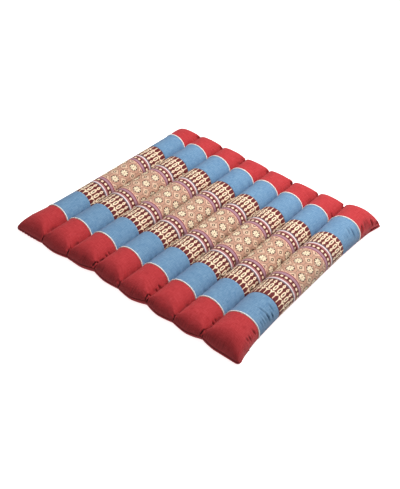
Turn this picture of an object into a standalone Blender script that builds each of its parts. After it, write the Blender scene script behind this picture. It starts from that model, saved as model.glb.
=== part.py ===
"""A flat meditation cushion: eight stuffed channels, sewn through along seven straight lines.

The cushion is one filled body. Its top is patchwork: a crimson panel at each end, a blue band
beside it and a woven band across the middle. A cream piping lies in each crimson and blue seam.
Metres, +Z up. +X runs across the channels and +Y along them. The origin is the middle of the
underside, on the surface that the cushion lies on.
"""
from collections import namedtuple
from math import asin, cos, hypot, pi, radians, sin, sqrt

import bmesh
import bpy

# Plan of the cushion. The pitch is the distance between two lines of stitching. The outer
# channels are uneven, so the middle line and the pattern's middle are a little off the origin.
PITCH = 0.0875
MIDDLE_LINE_X = -0.1329 * PITCH
MIDDLE_Y = -0.0686 * PITCH

# Heights above the surface that it lies on.
LINE_HEIGHT = 0.0235
WEB = 0.005
HEM_HEIGHT = 0.0085
SIDE_BULGE_HEIGHT = 0.0215

# Seams of the patchwork and its piping, measured from MIDDLE_Y.
PIPING_SEAM = 3.054 * PITCH
WOVEN_SEAM = 1.960 * PITCH
STRIPE_SEAM = 0.757 * PITCH
PIPING_RADIUS = 0.0018
GAP = 0.0003

# A piped seam draws the cloth into a shallow V, in which the piping lies.
SEAM_HALF_WIDTH = 0.0030
SEAM_DIP = 0.0015

# One row for each channel, from the left to the right. The crowns are heights above the lines of
# stitching, at the two pipings. The reaches are from MIDDLE_Y to the hem at each end.
Channel = namedtuple("Channel", "near_crown far_crown near_reach far_reach")
CHANNELS = (
    Channel(0.0310, 0.0275, 0.370, 0.362),
    Channel(0.0305, 0.0305, 0.373, 0.366),
    Channel(0.0320, 0.0300, 0.367, 0.368),
    Channel(0.0320, 0.0280, 0.366, 0.369),
    Channel(0.0280, 0.0280, 0.371, 0.370),
    Channel(0.0260, 0.0300, 0.369, 0.372),
    Channel(0.0255, 0.0325, 0.371, 0.379),
    Channel(0.0380, 0.0430, 0.369, 0.385),
)

# One row for each line of stitching: how far it draws the hem in at each end.
Line = namedtuple("Line", "near_notch far_notch")
STITCH_LINES = (
    Line(0.0000, 0.0025),
    Line(0.0010, 0.0025),
    Line(0.0075, 0.0025),
    Line(0.0000, 0.0025),
    Line(0.0080, 0.0025),
    Line(0.0020, 0.0030),
    Line(0.0060, 0.0035),
)
NOTCH_RISE = 0.8

# The two outer sides: the crest and the widest point, from the nearest line of stitching, and
# how far the corners stand out past the widest point of the middle.
Side = namedtuple("Side", "crest widest near_corner far_corner")
LEFT_SIDE = Side(0.42 * PITCH, 0.84 * PITCH, 0.22 * PITCH, 0.13 * PITCH)
RIGHT_SIDE = Side(0.66 * PITCH, 1.17 * PITCH, 0.14 * PITCH, 0.16 * PITCH)
HEM_INSET = 0.05 * PITCH
HEM_OUT_AT_CORNER = 0.005 * PITCH
CORNER_Y = 4.20 * PITCH
CORNER_POWER = 5

# The rounding of the ends, over a crest and over a line of stitching. The near end is fuller.
NEAR_ROUND = 0.50 * PITCH
FAR_ROUND = 0.72 * PITCH
LINE_ROUND = 0.22 * PITCH
STITCH_END = 3.60 * PITCH
TUCK_TOP = 3.95 * PITCH
TUCK_RISE = 0.0060
UNDER_ROUND = 0.13 * PITCH
GROOVE_HALF_WIDTH = 0.24 * PITCH

# How finely the body is divided.
STEPS_PER_HALF_CHANNEL = 4
OUTER_ANGLES = (0, 22, 45, 68, 90)
END_ANGLES = (0, 24, 48, 70, 90)
LEVEL_ROW = 3.24 * PITCH
SHARP_ANGLE = 60

CRIMSON = "crimson_cloth"
BLUE = "blue_cloth"
WOVEN = "woven_border"
BEIGE = "woven_centre"
CREAM = "cream_piping"
COLOURS = {
    CRIMSON: (0.48, 0.055, 0.065, 1),
    BLUE: (0.13, 0.30, 0.48, 1),
    WOVEN: (0.38, 0.18, 0.13, 1),
    BEIGE: (0.66, 0.45, 0.29, 1),
    CREAM: (0.86, 0.72, 0.66, 1),
}
CLOTH_ROUGHNESS = 0.85


def line_x(number):
    """Where a line of stitching runs; number is 0 for the leftmost one."""
    return MIDDLE_LINE_X + (number - (len(STITCH_LINES) - 1) / 2) * PITCH


def mix(a, b, share):
    return a + (b - a) * share


def ease(share):
    share = min(max(share, 0.0), 1.0)
    return share * share * (3 - 2 * share)


def crown(channel, y):
    """Height of a channel's crest above the lines of stitching, y from MIDDLE_Y."""
    share = (y + PIPING_SEAM) / (2 * PIPING_SEAM)
    return mix(channel.near_crown, channel.far_crown, min(max(share, 0.0), 1.0))


def line_height(y):
    """A line of stitching stops short of the ends, where the cloth puffs up a little."""
    return LINE_HEIGHT + TUCK_RISE * ease((abs(y) - STITCH_END) / (TUCK_TOP - STITCH_END))


def arc(half_width, rise, steps):
    """Points (across, height) of a circular arc, from its foot to its crest."""
    radius = (half_width**2 + rise**2) / (2 * rise)
    widest = asin(half_width / radius)
    angles = [widest * (1 - i / steps) for i in range(steps + 1)]
    return [(radius * sin(a), radius * cos(a) - radius + rise) for a in angles]


def offset_line(points, distance):
    """The line a distance outside points (across, height), with its corners mitred."""
    moved = []
    for i, (x, z) in enumerate(points):
        before, after = points[max(i - 1, 0)], points[min(i + 1, len(points) - 1)]
        normals = []
        for a, b in ((before, (x, z)), ((x, z), after)):
            length = hypot(b[0] - a[0], b[1] - a[1])
            if length > 0:
                normals.append((-(b[1] - a[1]) / length, (b[0] - a[0]) / length))
        nx = sum(n[0] for n in normals) / len(normals)
        nz = sum(n[1] for n in normals) / len(normals)
        scale = distance / (nx * nx + nz * nz)
        moved.append((x + nx * scale, z + nz * scale))
    return moved


def corner_share(y):
    """From 0 at mid-length to 1 at the corners, where most of it comes."""
    return (abs(y) / CORNER_Y) ** CORNER_POWER


def outer_side(side, rise, y):
    """Points (across, height above LINE_HEIGHT) from the crest out to the hem. The hem lies under
    the bulge of the side, but stands out past it at the corners."""
    corner = side.near_corner if y < 0 else side.far_corner
    reach = side.widest - side.crest + corner * corner_share(y)
    drop = rise + LINE_HEIGHT - SIDE_BULGE_HEIGHT
    points = [
        (side.crest + reach * sin(radians(a)), rise - drop * (1 - cos(radians(a))))
        for a in OUTER_ANGLES
    ]
    inset = mix(HEM_INSET, -HEM_OUT_AT_CORNER, corner_share(y))
    hem = (points[-1][0] - inset, HEM_HEIGHT - LINE_HEIGHT)
    return points + [hem]


def top_section(y, side_y=None):
    """Points (x, z) across the top at y, from the left hem to the right hem, and each point's
    closeness to a line of stitching, from 0 on a crest to 1 on a line. The outer sides are those
    at side_y, where it is given."""
    side_y = y if side_y is None else side_y
    base = line_height(y)
    points = []
    first = crown(CHANNELS[0], y) + LINE_HEIGHT - base
    for across, height in reversed(outer_side(LEFT_SIDE, first, side_y)):
        points.append((line_x(0) - across, base + height, 0.0))
    for across, height in reversed(arc(LEFT_SIDE.crest, first, STEPS_PER_HALF_CHANNEL)[:-1]):
        points.append((line_x(0) - LEFT_SIDE.crest + across, base + height, across / LEFT_SIDE.crest))
    half = PITCH / 2
    for number in range(1, len(STITCH_LINES)):
        rise = crown(CHANNELS[number], y) + LINE_HEIGHT - base
        middle = line_x(number - 1) + half
        rising = arc(half, rise, STEPS_PER_HALF_CHANNEL)
        for across, height in rising[1:]:
            points.append((middle - across, base + height, across / half))
        for across, height in reversed(rising[:-1]):
            points.append((middle + across, base + height, across / half))
    last = crown(CHANNELS[-1], y) + LINE_HEIGHT - base
    crest = line_x(len(STITCH_LINES) - 1) + RIGHT_SIDE.crest
    for across, height in arc(RIGHT_SIDE.crest, last, STEPS_PER_HALF_CHANNEL)[1:]:
        points.append((crest - across, base + height, across / RIGHT_SIDE.crest))
    for across, height in outer_side(RIGHT_SIDE, last, side_y)[1:]:
        points.append((line_x(len(STITCH_LINES) - 1) + across, base + height, 0.0))
    return points


def nearest_line(x):
    """The line of stitching nearest to x, and the closeness to it: 1 on the line, 0 past its
    groove."""
    number = min(range(len(STITCH_LINES)), key=lambda n: abs(x - line_x(n)))
    return STITCH_LINES[number], max(0.0, 1 - abs(x - line_x(number)) / GROOVE_HALF_WIDTH)


def underside_height(x, y):
    """The underside is flat but for a rounded groove under each line of stitching."""
    closeness = nearest_line(x)[1]
    return (line_height(y) - WEB) * (1 - sqrt(1 - closeness**2))


def notch(x, end):
    """How far the nearest line of stitching draws the hem in at x."""
    line, closeness = nearest_line(x)
    return closeness * (line.near_notch if end < 0 else line.far_notch)


def hem_height(x, end):
    """The hem at the ends rises a little where it is drawn in."""
    return HEM_HEIGHT + NOTCH_RISE * notch(x, end)


def reach(x, end):
    """From MIDDLE_Y to the hem at x, for the near end (-1) or the far end (+1)."""
    place = (x - line_x(0)) / PITCH + 0.5
    left = min(max(int(place), 0), len(CHANNELS) - 2)
    share = min(max(place - left, 0.0), 1.0)
    a, b = CHANNELS[left], CHANNELS[left + 1]
    values = (a.near_reach, b.near_reach) if end < 0 else (a.far_reach, b.far_reach)
    return mix(*values, ease(share)) - notch(x, end)


def rows():
    """Each row along the cushion: (y at mid-channel, end, angle). The angle is the height up the
    rounded end, from 0 at the hem to 90 where the top is level; end is 0 past it."""
    near = [(-1, angle) for angle in END_ANGLES]
    inner = [-LEVEL_ROW]
    inner += [-PIPING_SEAM - SEAM_HALF_WIDTH, -PIPING_SEAM, -PIPING_SEAM + SEAM_HALF_WIDTH]
    inner += [-WOVEN_SEAM, -STRIPE_SEAM]
    inner += [-y for y in reversed(inner)]
    far = [(1, angle) for angle in reversed(END_ANGLES)]
    return [(None, *cap) for cap in near] + [(y, 0, 90) for y in inner] + [(None, *cap) for cap in far]


def top_rows():
    """The points of the top, a list for each row."""
    table = []
    for y, end, angle in rows():
        if end == 0:
            section = [(x, z) for x, z, _ in top_section(y)]
            if abs(y) == PIPING_SEAM:
                section = offset_line(section, -SEAM_DIP)
            table.append([(x, y, z) for x, z in section])
            continue
        row = []
        crest_round = NEAR_ROUND if end < 0 else FAR_ROUND
        side_y = end * (reach(0, end) - crest_round * (1 - cos(radians(angle))))
        level = top_section(end * (TUCK_TOP if angle < 90 else STITCH_END), side_y)
        for x, z, closeness in level:
            rounding = mix(crest_round, LINE_ROUND, closeness**2)
            back = rounding * (1 - cos(radians(angle)))
            hem = hem_height(x, end)
            row.append((x, end * (reach(x, end) - back), hem + (z - hem) * sin(radians(angle))))
        table.append(row)
    return table


def underside_stations(top):
    """The x of each point under a top row. The outer ones curve in from the hem to the flat."""
    left, right = top[0][0], top[-1][0]
    curl = STEPS_PER_HALF_CHANNEL
    xs = [x for x, _, _ in top]
    for i in range(curl):
        share = 1 - cos(pi / 2 * i / (curl - 1))
        xs[i] = left + UNDER_ROUND * share
        xs[-1 - i] = right - UNDER_ROUND * share
    return xs


def underside_rows(top):
    table = []
    last = len(top[0]) - 1
    for (y, end, angle), above in zip(rows(), top):
        row = []
        for i, x in enumerate(underside_stations(above)):
            from_side = min(x - above[0][0], above[-1][0] - x)
            side = min(max(0.0, 1 - from_side / UNDER_ROUND), 1.0)
            curl = HEM_HEIGHT * (1 - sqrt(1 - side**2))
            if end == 0:
                row.append((x, y, max(curl, underside_height(x, y))))
                continue
            inward = UNDER_ROUND * (1 - cos(radians(angle)))
            rim_y = above[0 if i < last / 2 else last][1]
            flat = max(curl, underside_height(x, end * STITCH_END))
            hem = hem_height(x, end)
            height = flat + (hem - flat) * (1 - sin(radians(angle)))
            row.append((x, mix(end * (reach(x, end) - inward), rim_y, side), height))
        row[0], row[last] = above[0], above[last]
        table.append(row)
    table[0], table[-1] = top[0], top[-1]
    return table


def band(y):
    """The cloth that covers the top at y."""
    for seam, cloth in ((STRIPE_SEAM, BEIGE), (WOVEN_SEAM, WOVEN), (PIPING_SEAM, BLUE)):
        if abs(y) < seam:
            return cloth
    return CRIMSON


def material(name):
    made = bpy.data.materials.get(name) or bpy.data.materials.new(name)
    made.use_nodes = True
    shader = made.node_tree.nodes["Principled BSDF"]
    shader.inputs["Base Color"].default_value = COLOURS[name]
    shader.inputs["Roughness"].default_value = CLOTH_ROUGHNESS
    shader.inputs["Metallic"].default_value = 0.0
    return made


def add(name, data, parent):
    piece = bpy.data.objects.new(name, data)
    piece.parent = parent
    bpy.context.scene.collection.objects.link(piece)
    return piece


def make_cushion(parent):
    """The one filled body: a top and an underside that share the hem all round."""
    top = top_rows()
    under = underside_rows(top)
    bm = bmesh.new()
    upper = [[bm.verts.new((x, y + MIDDLE_Y, z)) for x, y, z in row] for row in top]
    lower = []
    last_row, last = len(top) - 1, len(top[0]) - 1
    for j, row in enumerate(under):
        rim = j in (0, last_row)
        lower.append([
            upper[j][i] if rim or i in (0, last) else bm.verts.new((x, y + MIDDLE_Y, z))
            for i, (x, y, z) in enumerate(row)
        ])
    cloths = [CRIMSON, BLUE, WOVEN, BEIGE]
    for j in range(last_row):
        middle = last // 2
        cloth = cloths.index(band((top[j][middle][1] + top[j + 1][middle][1]) / 2))
        for i in range(last):
            face = bm.faces.new((upper[j][i], upper[j][i + 1], upper[j + 1][i + 1], upper[j + 1][i]))
            face.material_index = cloth
            bm.faces.new((lower[j][i], lower[j + 1][i], lower[j + 1][i + 1], lower[j][i + 1]))
    mesh = bpy.data.meshes.new("cushion")
    bm.to_mesh(mesh)
    bm.free()
    for cloth in cloths:
        mesh.materials.append(material(cloth))
    mesh.shade_smooth()
    mesh.set_sharp_from_angle(angle=radians(SHARP_ANGLE))
    return add("cushion", mesh, parent)


def make_piping(name, seam, parent):
    """A round cream piping that follows the crowns across the cushion, in the V of its seam and
    just clear of the cloth. It ends at the widest point of each side, above the hem."""
    surface = [(x, z) for x, z, _ in top_section(seam)][1:-1]
    lift = (PIPING_RADIUS + GAP) * hypot(SEAM_DIP, SEAM_HALF_WIDTH) / SEAM_HALF_WIDTH - SEAM_DIP
    route = offset_line(surface, lift)
    curve = bpy.data.curves.new(name, "CURVE")
    curve.dimensions = "3D"
    curve.bevel_depth = PIPING_RADIUS
    curve.bevel_resolution = 2
    curve.use_fill_caps = True
    spline = curve.splines.new("POLY")
    spline.points.add(len(route) - 1)
    for point, (x, z) in zip(spline.points, route):
        point.co = (x, 0, z, 1)
    curve.materials.append(material(CREAM))
    piping = add(name, curve, parent)
    piping.location.y = seam + MIDDLE_Y
    return piping


def main():
    for old in list(bpy.data.objects):
        bpy.data.objects.remove(old, do_unlink=True)
    whole = bpy.data.objects.new("meditation_cushion", None)
    bpy.context.scene.collection.objects.link(whole)
    make_cushion(whole)
    make_piping("piping_near", -PIPING_SEAM, whole)
    make_piping("piping_far", PIPING_SEAM, whole)


main()
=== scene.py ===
# %% [markdown]
# # A meditation cushion in patchwork cloth
#
# The real thing is a flat floor cushion. A cover of crimson, blue and brocade cloth is sewn
# through along seven straight lines, and each of the eight channels between them is stuffed
# with kapok. This lesson dresses the plain solid of that cushion: it cuts a cover, lets
# Blender's cloth solver blow it up against its stitching, and weaves the brocade with nodes.

# %% The frame
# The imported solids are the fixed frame. Everything below is in metres, in their coordinates.
import math
from collections import namedtuple

import bmesh
import bpy
import numpy as np
from mathutils import Matrix, Vector
from mathutils.bvhtree import BVHTree
from mathutils.geometry import delaunay_2d_cdt


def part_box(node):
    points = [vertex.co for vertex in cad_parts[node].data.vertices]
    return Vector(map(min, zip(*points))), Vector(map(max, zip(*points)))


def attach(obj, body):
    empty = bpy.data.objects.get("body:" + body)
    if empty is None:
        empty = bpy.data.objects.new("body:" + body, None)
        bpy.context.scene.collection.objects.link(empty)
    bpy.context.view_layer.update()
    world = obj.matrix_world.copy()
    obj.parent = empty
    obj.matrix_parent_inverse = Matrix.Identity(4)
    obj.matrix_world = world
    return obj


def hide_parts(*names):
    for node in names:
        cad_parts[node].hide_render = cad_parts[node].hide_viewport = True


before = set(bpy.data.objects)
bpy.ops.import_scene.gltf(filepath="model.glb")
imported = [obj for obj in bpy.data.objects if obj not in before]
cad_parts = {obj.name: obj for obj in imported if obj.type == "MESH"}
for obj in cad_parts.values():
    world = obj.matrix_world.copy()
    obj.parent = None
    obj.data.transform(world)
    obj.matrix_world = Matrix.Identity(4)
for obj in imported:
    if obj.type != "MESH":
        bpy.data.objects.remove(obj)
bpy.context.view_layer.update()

# %% [markdown]
# ## The sizes that everything follows
#
# The cushion is a row of channels, so one distance drives it: the pitch, from one line of
# stitching to the next. Nearly every other length here is a share of that pitch. The middle
# line of stitching is a little off the origin, because the outer channels are uneven.

# %% Driving sizes
PITCH = 0.0875
LINES = 7
CHANNELS = LINES + 1
MIDDLE_LINE_X = -0.1329 * PITCH
MIDDLE_Y = -0.0686 * PITCH

# Seams of the patchwork, from MIDDLE_Y towards each end.
PIPING_SEAM = 3.054 * PITCH
WOVEN_SEAM = 1.960 * PITCH


def line_x(number):
    """Where a line of stitching runs; number is 0 for the leftmost one."""
    return MIDDLE_LINE_X + (number - (LINES - 1) / 2) * PITCH


print("lines of stitching at x =", [round(line_x(n), 4) for n in range(LINES)])

# %% [markdown]
# ## The camera
#
# A photograph fixes where its camera stood. Straight, evenly spaced lines of stitching make
# that easy to work out: their vanishing points give the direction, and their spacing gives the
# distance. The camera looks down at a corner, with a slight roll, through a moderately long
# lens. Its place is measured from the middle of the stitched plane, in pitches.

# %% Camera
IMAGE_HEIGHT_PX = 489
FOCAL_PX = 859.24
SENSOR = 36.0
AZIMUTH, ELEVATION, ROLL = (math.radians(a) for a in (30.0556, 38.5934, 9.5235))
TARGET = (0.62515 * PITCH, -0.9877 * PITCH, 0.0)
DISTANCE = 26.7277 * PITCH
STITCHED_PLANE = 0.0235

back = Vector((
    math.sin(AZIMUTH) * math.cos(ELEVATION),
    -math.cos(AZIMUTH) * math.cos(ELEVATION),
    math.sin(ELEVATION),
))
level_right = Vector((math.cos(AZIMUTH), math.sin(AZIMUTH), 0))
level_up = back.cross(level_right)
right = math.cos(ROLL) * level_right + math.sin(ROLL) * level_up
up = math.cos(ROLL) * level_up - math.sin(ROLL) * level_right
camera_data = bpy.data.cameras.new("camera")
camera_data.sensor_width = SENSOR
camera_data.lens = FOCAL_PX / IMAGE_HEIGHT_PX * SENSOR
camera = bpy.data.objects.new("camera", camera_data)
bpy.context.scene.collection.objects.link(camera)
place = Vector(TARGET) + back * DISTANCE + Vector((MIDDLE_LINE_X, MIDDLE_Y, STITCHED_PLANE))
camera.matrix_world = Matrix((
    (right.x, up.x, back.x, place.x),
    (right.y, up.y, back.y, place.y),
    (right.z, up.z, back.z, place.z),
    (0, 0, 0, 1),
))
bpy.context.scene.camera = camera
print("lens", round(camera_data.lens, 2), "mm, camera", [round(v, 3) for v in place])

# %% [markdown]
# ## Reading the frame
#
# The solid already has the photographed crowns and outer sides. A ray cast at it answers how
# high a crest is, or how far the hem reaches between two lines of stitching, so the cover can't
# drift from the solid. Only the small notches, where each line draws the hem in, are measured
# and written down.

# %% Rays at the solid
cushion_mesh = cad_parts["cushion"].data
solid = BVHTree.FromPolygons(
    [v.co for v in cushion_mesh.vertices], [p.vertices for p in cushion_mesh.polygons]
)
FAR_OFF = 1.0

# A ray that runs exactly through a row of points can slip between two faces.
CLEAR_OF_POINTS = 0.0003
HEM_HEIGHT = 0.0085
BULGE_HEIGHT = 0.0215


def height_at(x, y):
    """Height of the solid's top, y from MIDDLE_Y."""
    return solid.ray_cast(Vector((x, y + MIDDLE_Y, FAR_OFF)), Vector((0, 0, -1)))[0].z


BESIDE_SEAM = 0.045 * PITCH


def side_x(y, z, side):
    """The solid's outer side at y from MIDDLE_Y, on the left (-1) or the right (+1). Close to a
    piping seam, where the solid dips, it is the mean of the places just beside the dip."""
    at = [y]
    if abs(abs(y) - PIPING_SEAM) < BESIDE_SEAM:
        at = [math.copysign(PIPING_SEAM + side_step, y) for side_step in (-BESIDE_SEAM, BESIDE_SEAM)]
    hits = [
        solid.ray_cast(
            Vector((side * FAR_OFF, value + MIDDLE_Y, z + CLEAR_OF_POINTS)), Vector((-side, 0, 0))
        )[0].x
        for value in at
    ]
    return sum(hits) / len(hits)


BOX_LOW, BOX_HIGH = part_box("cushion")
NOTCH_RISE = 0.7
NOTCH_SHARPNESS = 1.5
SCALLOP = 0.0022

# How far each line of stitching draws the hem in, from the leftmost line, at the near end (-1)
# and the far end (+1). The deep ones are where the sewer gathered the most cloth.
NOTCHES = {
    -1: (0.0022, 0.0030, 0.0075, 0.0026, 0.0080, 0.0038, 0.0065),
    1: (0.0040, 0.0035, 0.0052, 0.0040, 0.0052, 0.0045, 0.0062),
}


def outermost(x, end):
    """From MIDDLE_Y to the hem at x, at the near end (-1) or the far end (+1)."""
    hit = solid.ray_cast(Vector((x, end * FAR_OFF, HEM_HEIGHT + CLEAR_OF_POINTS)), Vector((0, -end, 0)))[0]
    return abs(hit.y - MIDDLE_Y)


def ease(share):
    """From 0 to 1 with a level start and end."""
    share = min(max(share, 0.0), 1.0)
    return share * share * (3 - 2 * share)


def mix(a, b, share):
    return a + (b - a) * share


MIDDLES = [line_x(0) + (n - 0.5) * PITCH for n in range(CHANNELS)]
REACHES = {end: [outermost(x, end) for x in MIDDLES] for end in (-1, 1)}


def between_crests(x, end):
    """The hem's reach at x, without its notches."""
    place = (x - MIDDLES[0]) / PITCH
    left = min(max(int(place), 0), CHANNELS - 2)
    return mix(*REACHES[end][left:left + 2], ease(place - left))


def hem_at(x, end):
    """Reach and height of the hem at x. It bulges at each channel and is drawn in, and a little
    up, at each line of stitching."""
    number = min(max(round((x - line_x(0)) / PITCH), 0), LINES - 1)
    off = abs(x - line_x(number)) / (PITCH / 2)
    notch = NOTCHES[end][number] * max(0.0, 1 - off) ** NOTCH_SHARPNESS
    bulge = SCALLOP * math.sin(math.pi / 2 * min(off, 1.0))
    return between_crests(x, end) - notch + bulge - SCALLOP / 2, HEM_HEIGHT + NOTCH_RISE * notch


for end, side in ((-1, "near"), (1, "far")):
    print("reach of the", side, "hem, in mm:", [round(1000 * v, 1) for v in REACHES[end]])

CREST_FROM_LINE = {0: 0.42 * PITCH, CHANNELS - 1: 0.66 * PITCH}


def crest_x(channel):
    """Where a channel is highest. The outer crests lie nearer to their stitching."""
    if channel == 0:
        return line_x(0) - CREST_FROM_LINE[0]
    if channel == CHANNELS - 1:
        return line_x(LINES - 1) + CREST_FROM_LINE[channel]
    return line_x(channel - 1) + PITCH / 2


LEVEL_Y = 3.2 * PITCH
CREST_ENDS = [[height_at(crest_x(n), end * LEVEL_Y) for end in (-1, 1)] for n in range(CHANNELS)]


def crest_height(channel, y):
    """Height of a channel's crest, from its near crown to its far one."""
    near, far = CREST_ENDS[channel]
    return near + (far - near) * min(max((y + PIPING_SEAM) / (2 * PIPING_SEAM), 0), 1)


for n, (near, far) in enumerate(CREST_ENDS):
    print("channel", n + 1, "stands", round(1000 * near, 1), "mm near and", round(1000 * far, 1), "mm far")

# %% [markdown]
# ## Cutting the cover
#
# A cover could be sculpted, or voxel remeshed from the solid, but then its seams and the
# direction of its threads are lost. Here it is cut as a tailor would: a grid whose columns run
# along the channels and whose rows run across them. Each row is spaced evenly along the cloth,
# so the grid is also the cloth's own map, and the seams of the patchwork fall on whole rows.
#
# Between two lines of stitching the stuffed cloth is nearly half a circle. It dives steeply at
# the stitching, and neighbours nearly touch, which is why the creases look so dark and narrow.

# %% Rows along the cushion
STITCH_DEPTH = 0.0105
STITCH_END = 3.62 * PITCH
TUCK_TOP = 3.90 * PITCH
TUCK_RISE = 0.004
NEAR_ROUND = 0.56 * PITCH
FAR_ROUND = 0.72 * PITCH
LINE_ROUND = 0.26 * PITCH
NEAR_LEVEL = 3.66 * PITCH
FAR_LEVEL = 3.38 * PITCH
CAP_ROWS = 14
COARSE_ROW = 0.0098
FINE_ROW = 0.0050


def spread(start, stop, step):
    """Evenly spaced values from start to stop, about a step apart, without the last one."""
    count = max(1, round((stop - start) / step))
    return [start + (stop - start) * i / count for i in range(count)]


def half_rows(end):
    """Rows from the middle of the cushion to one hem: (y, angle). The angle is 0 on the level
    top and rises to 90 degrees at the hem."""
    level_end = FAR_LEVEL if end > 0 else NEAR_LEVEL
    ys = spread(0, WOVEN_SEAM, COARSE_ROW) + spread(WOVEN_SEAM, PIPING_SEAM, COARSE_ROW)
    ys += spread(PIPING_SEAM, level_end, FINE_ROW)
    return [(end * y, 0.0) for y in ys] + [(end * level_end, 90 * i / CAP_ROWS) for i in range(CAP_ROWS + 1)]


ROWS = half_rows(-1)[::-1] + half_rows(1)[1:]
print(len(ROWS), "rows")

# %% Columns across the cushion
COLUMNS = [22] + [18] * (CHANNELS - 2) + [28]
DENSE = 60


def line_z(y):
    """Height of a line of stitching. It stops short of the ends, where the cloth puffs up."""
    free = ease((abs(y) - STITCH_END) / (TUCK_TOP - STITCH_END))
    return STITCHED_PLANE - STITCH_DEPTH + (STITCH_DEPTH + TUCK_RISE) * free


STEEP = math.radians(85)
FULLNESS = 2.25


def lobe(x0, z0, x1, z1):
    """Half a channel, from its crest down to a line of stitching. It is part of a slightly
    squared ellipse, full in the shoulder and steep at the stitching."""
    lowest = math.cos(STEEP) ** (2 / FULLNESS)
    widest = math.sin(STEEP) ** (2 / FULLNESS)
    points = []
    for i in range(DENSE + 1):
        angle = STEEP * i / DENSE
        share = math.sin(angle) ** (2 / FULLNESS) / widest
        height = (math.cos(angle) ** (2 / FULLNESS) - lowest) / (1 - lowest)
        points.append((mix(x0, x1, share), mix(z1, z0, height)))
    return points


INSIDE_CORNER = 0.0015
CORNER_Y = 4.20 * PITCH
CORNER_POWER = 5


def outer_half(channel, y, crest, turn):
    """The outer half of the first or the last channel, from the crest out to the hem. On the
    rounded end, the section of the side is taken where the turn has brought it."""
    side = -1 if channel == 0 else 1
    side_y = y
    if turn > 0:
        end = -1 if y < 0 else 1
        corner = hem_at(line_x(0) - PITCH if side < 0 else line_x(LINES - 1) + PITCH, end)[0]
        round_part = NEAR_ROUND if end < 0 else FAR_ROUND
        side_y = end * min(corner - round_part * (1 - math.sin(turn)), corner - INSIDE_CORNER)
    hem = side_x(side_y, HEM_HEIGHT, side)
    level_y = math.copysign(min(abs(side_y), STITCH_END), side_y)
    bulge = side_x(level_y, BULGE_HEIGHT, side) - side_x(level_y, HEM_HEIGHT, side)
    wide = hem + bulge * (1 - min(1, abs(side_y) / CORNER_Y) ** CORNER_POWER)
    points = []
    for i in range(DENSE + 1):
        angle = math.pi / 2 * i / DENSE
        points.append((
            mix(crest[0], wide, math.sin(angle)),
            mix(crest[1], BULGE_HEIGHT, 1 - math.cos(angle)),
        ))
    for i in range(1, DENSE // 4 + 1):
        angle = math.pi / 2 * i * 4 / DENSE
        points.append((mix(wide, hem, 1 - math.cos(angle)), mix(BULGE_HEIGHT, HEM_HEIGHT, math.sin(angle))))
    return points


def resample(points, count):
    """The polyline's points again, count + 1 of them, evenly spaced along it, and how far along
    each of them is."""
    points = np.array(points)
    length = np.concatenate([[0], np.cumsum(np.hypot(*np.diff(points, axis=0).T))])
    at = np.linspace(0, length[-1], count + 1)
    return np.stack([np.interp(at, length, points[:, 0]), np.interp(at, length, points[:, 1])], 1), at


def channel_section(channel, y, turn):
    """(x, z) across one channel at y, from its left edge to its right, and the distance of each
    point along the cloth from the crest."""
    crest = (crest_x(channel), crest_height(channel, y))
    halves = []
    for side in (-1, 1):
        number = channel - 1 if side < 0 else channel
        if 0 <= number < LINES:
            half = lobe(*crest, line_x(number), line_z(y))
        else:
            half = outer_half(channel, y, crest, turn)
        halves.append(half)
    points, at = resample(halves[0][::-1] + halves[1][1:], COLUMNS[channel])
    left = np.array(halves[0])
    return points, at - np.hypot(*np.diff(left, axis=0).T).sum()


def section(y, turn=0.0):
    """One row of the cover: its points (x, z), and each one's closeness to the stitching. The
    turn is an angle, above 0 on a rounded end."""
    xz, closeness = [], []
    for channel in range(CHANNELS):
        points, _ = channel_section(channel, y, turn)
        keep = slice(0, None) if channel == 0 else slice(1, None)
        xz.append(points[keep])
        away = np.full(len(points), FAR_OFF)
        for number in (channel - 1, channel):
            if 0 <= number < LINES:
                away = np.minimum(away, abs(points[:, 0] - line_x(number)))
        closeness.append(np.clip(1 - away / (PITCH / 2), 0, 1)[keep])
    return np.concatenate(xz), np.concatenate(closeness)


# %% The cut cover
CORNER_COLUMN_GAP = 0.0012
NEAR_CORNER_ROUND = 0.13 * PITCH
FAR_CORNER_ROUND = 0.035 * PITCH
PUFFED_AT = 40
EVENED_LATE = 1.5


def even_x(row_xz):
    """Where each column meets the hem at an end: spaced evenly between its lines of stitching.
    On the outer sides a column stays where it is, so that the corners keep blunt, and is only
    kept a little apart from the one outside it."""
    xs = [x for x, _ in row_xz]
    first = COLUMNS[0]
    last = len(xs) - 1 - COLUMNS[-1]
    for column in range(1, first):
        xs[column] = max(xs[column], xs[column - 1] + CORNER_COLUMN_GAP)
    for column in range(len(xs) - 2, last, -1):
        xs[column] = min(xs[column], xs[column + 1] - CORNER_COLUMN_GAP)
    for channel in range(1, CHANNELS - 1):
        start = first + sum(COLUMNS[1:channel])
        count = COLUMNS[channel]
        xs[start:start + count + 1] = np.linspace(line_x(channel - 1), line_x(channel), count + 1)
    return np.array(xs)


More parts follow.
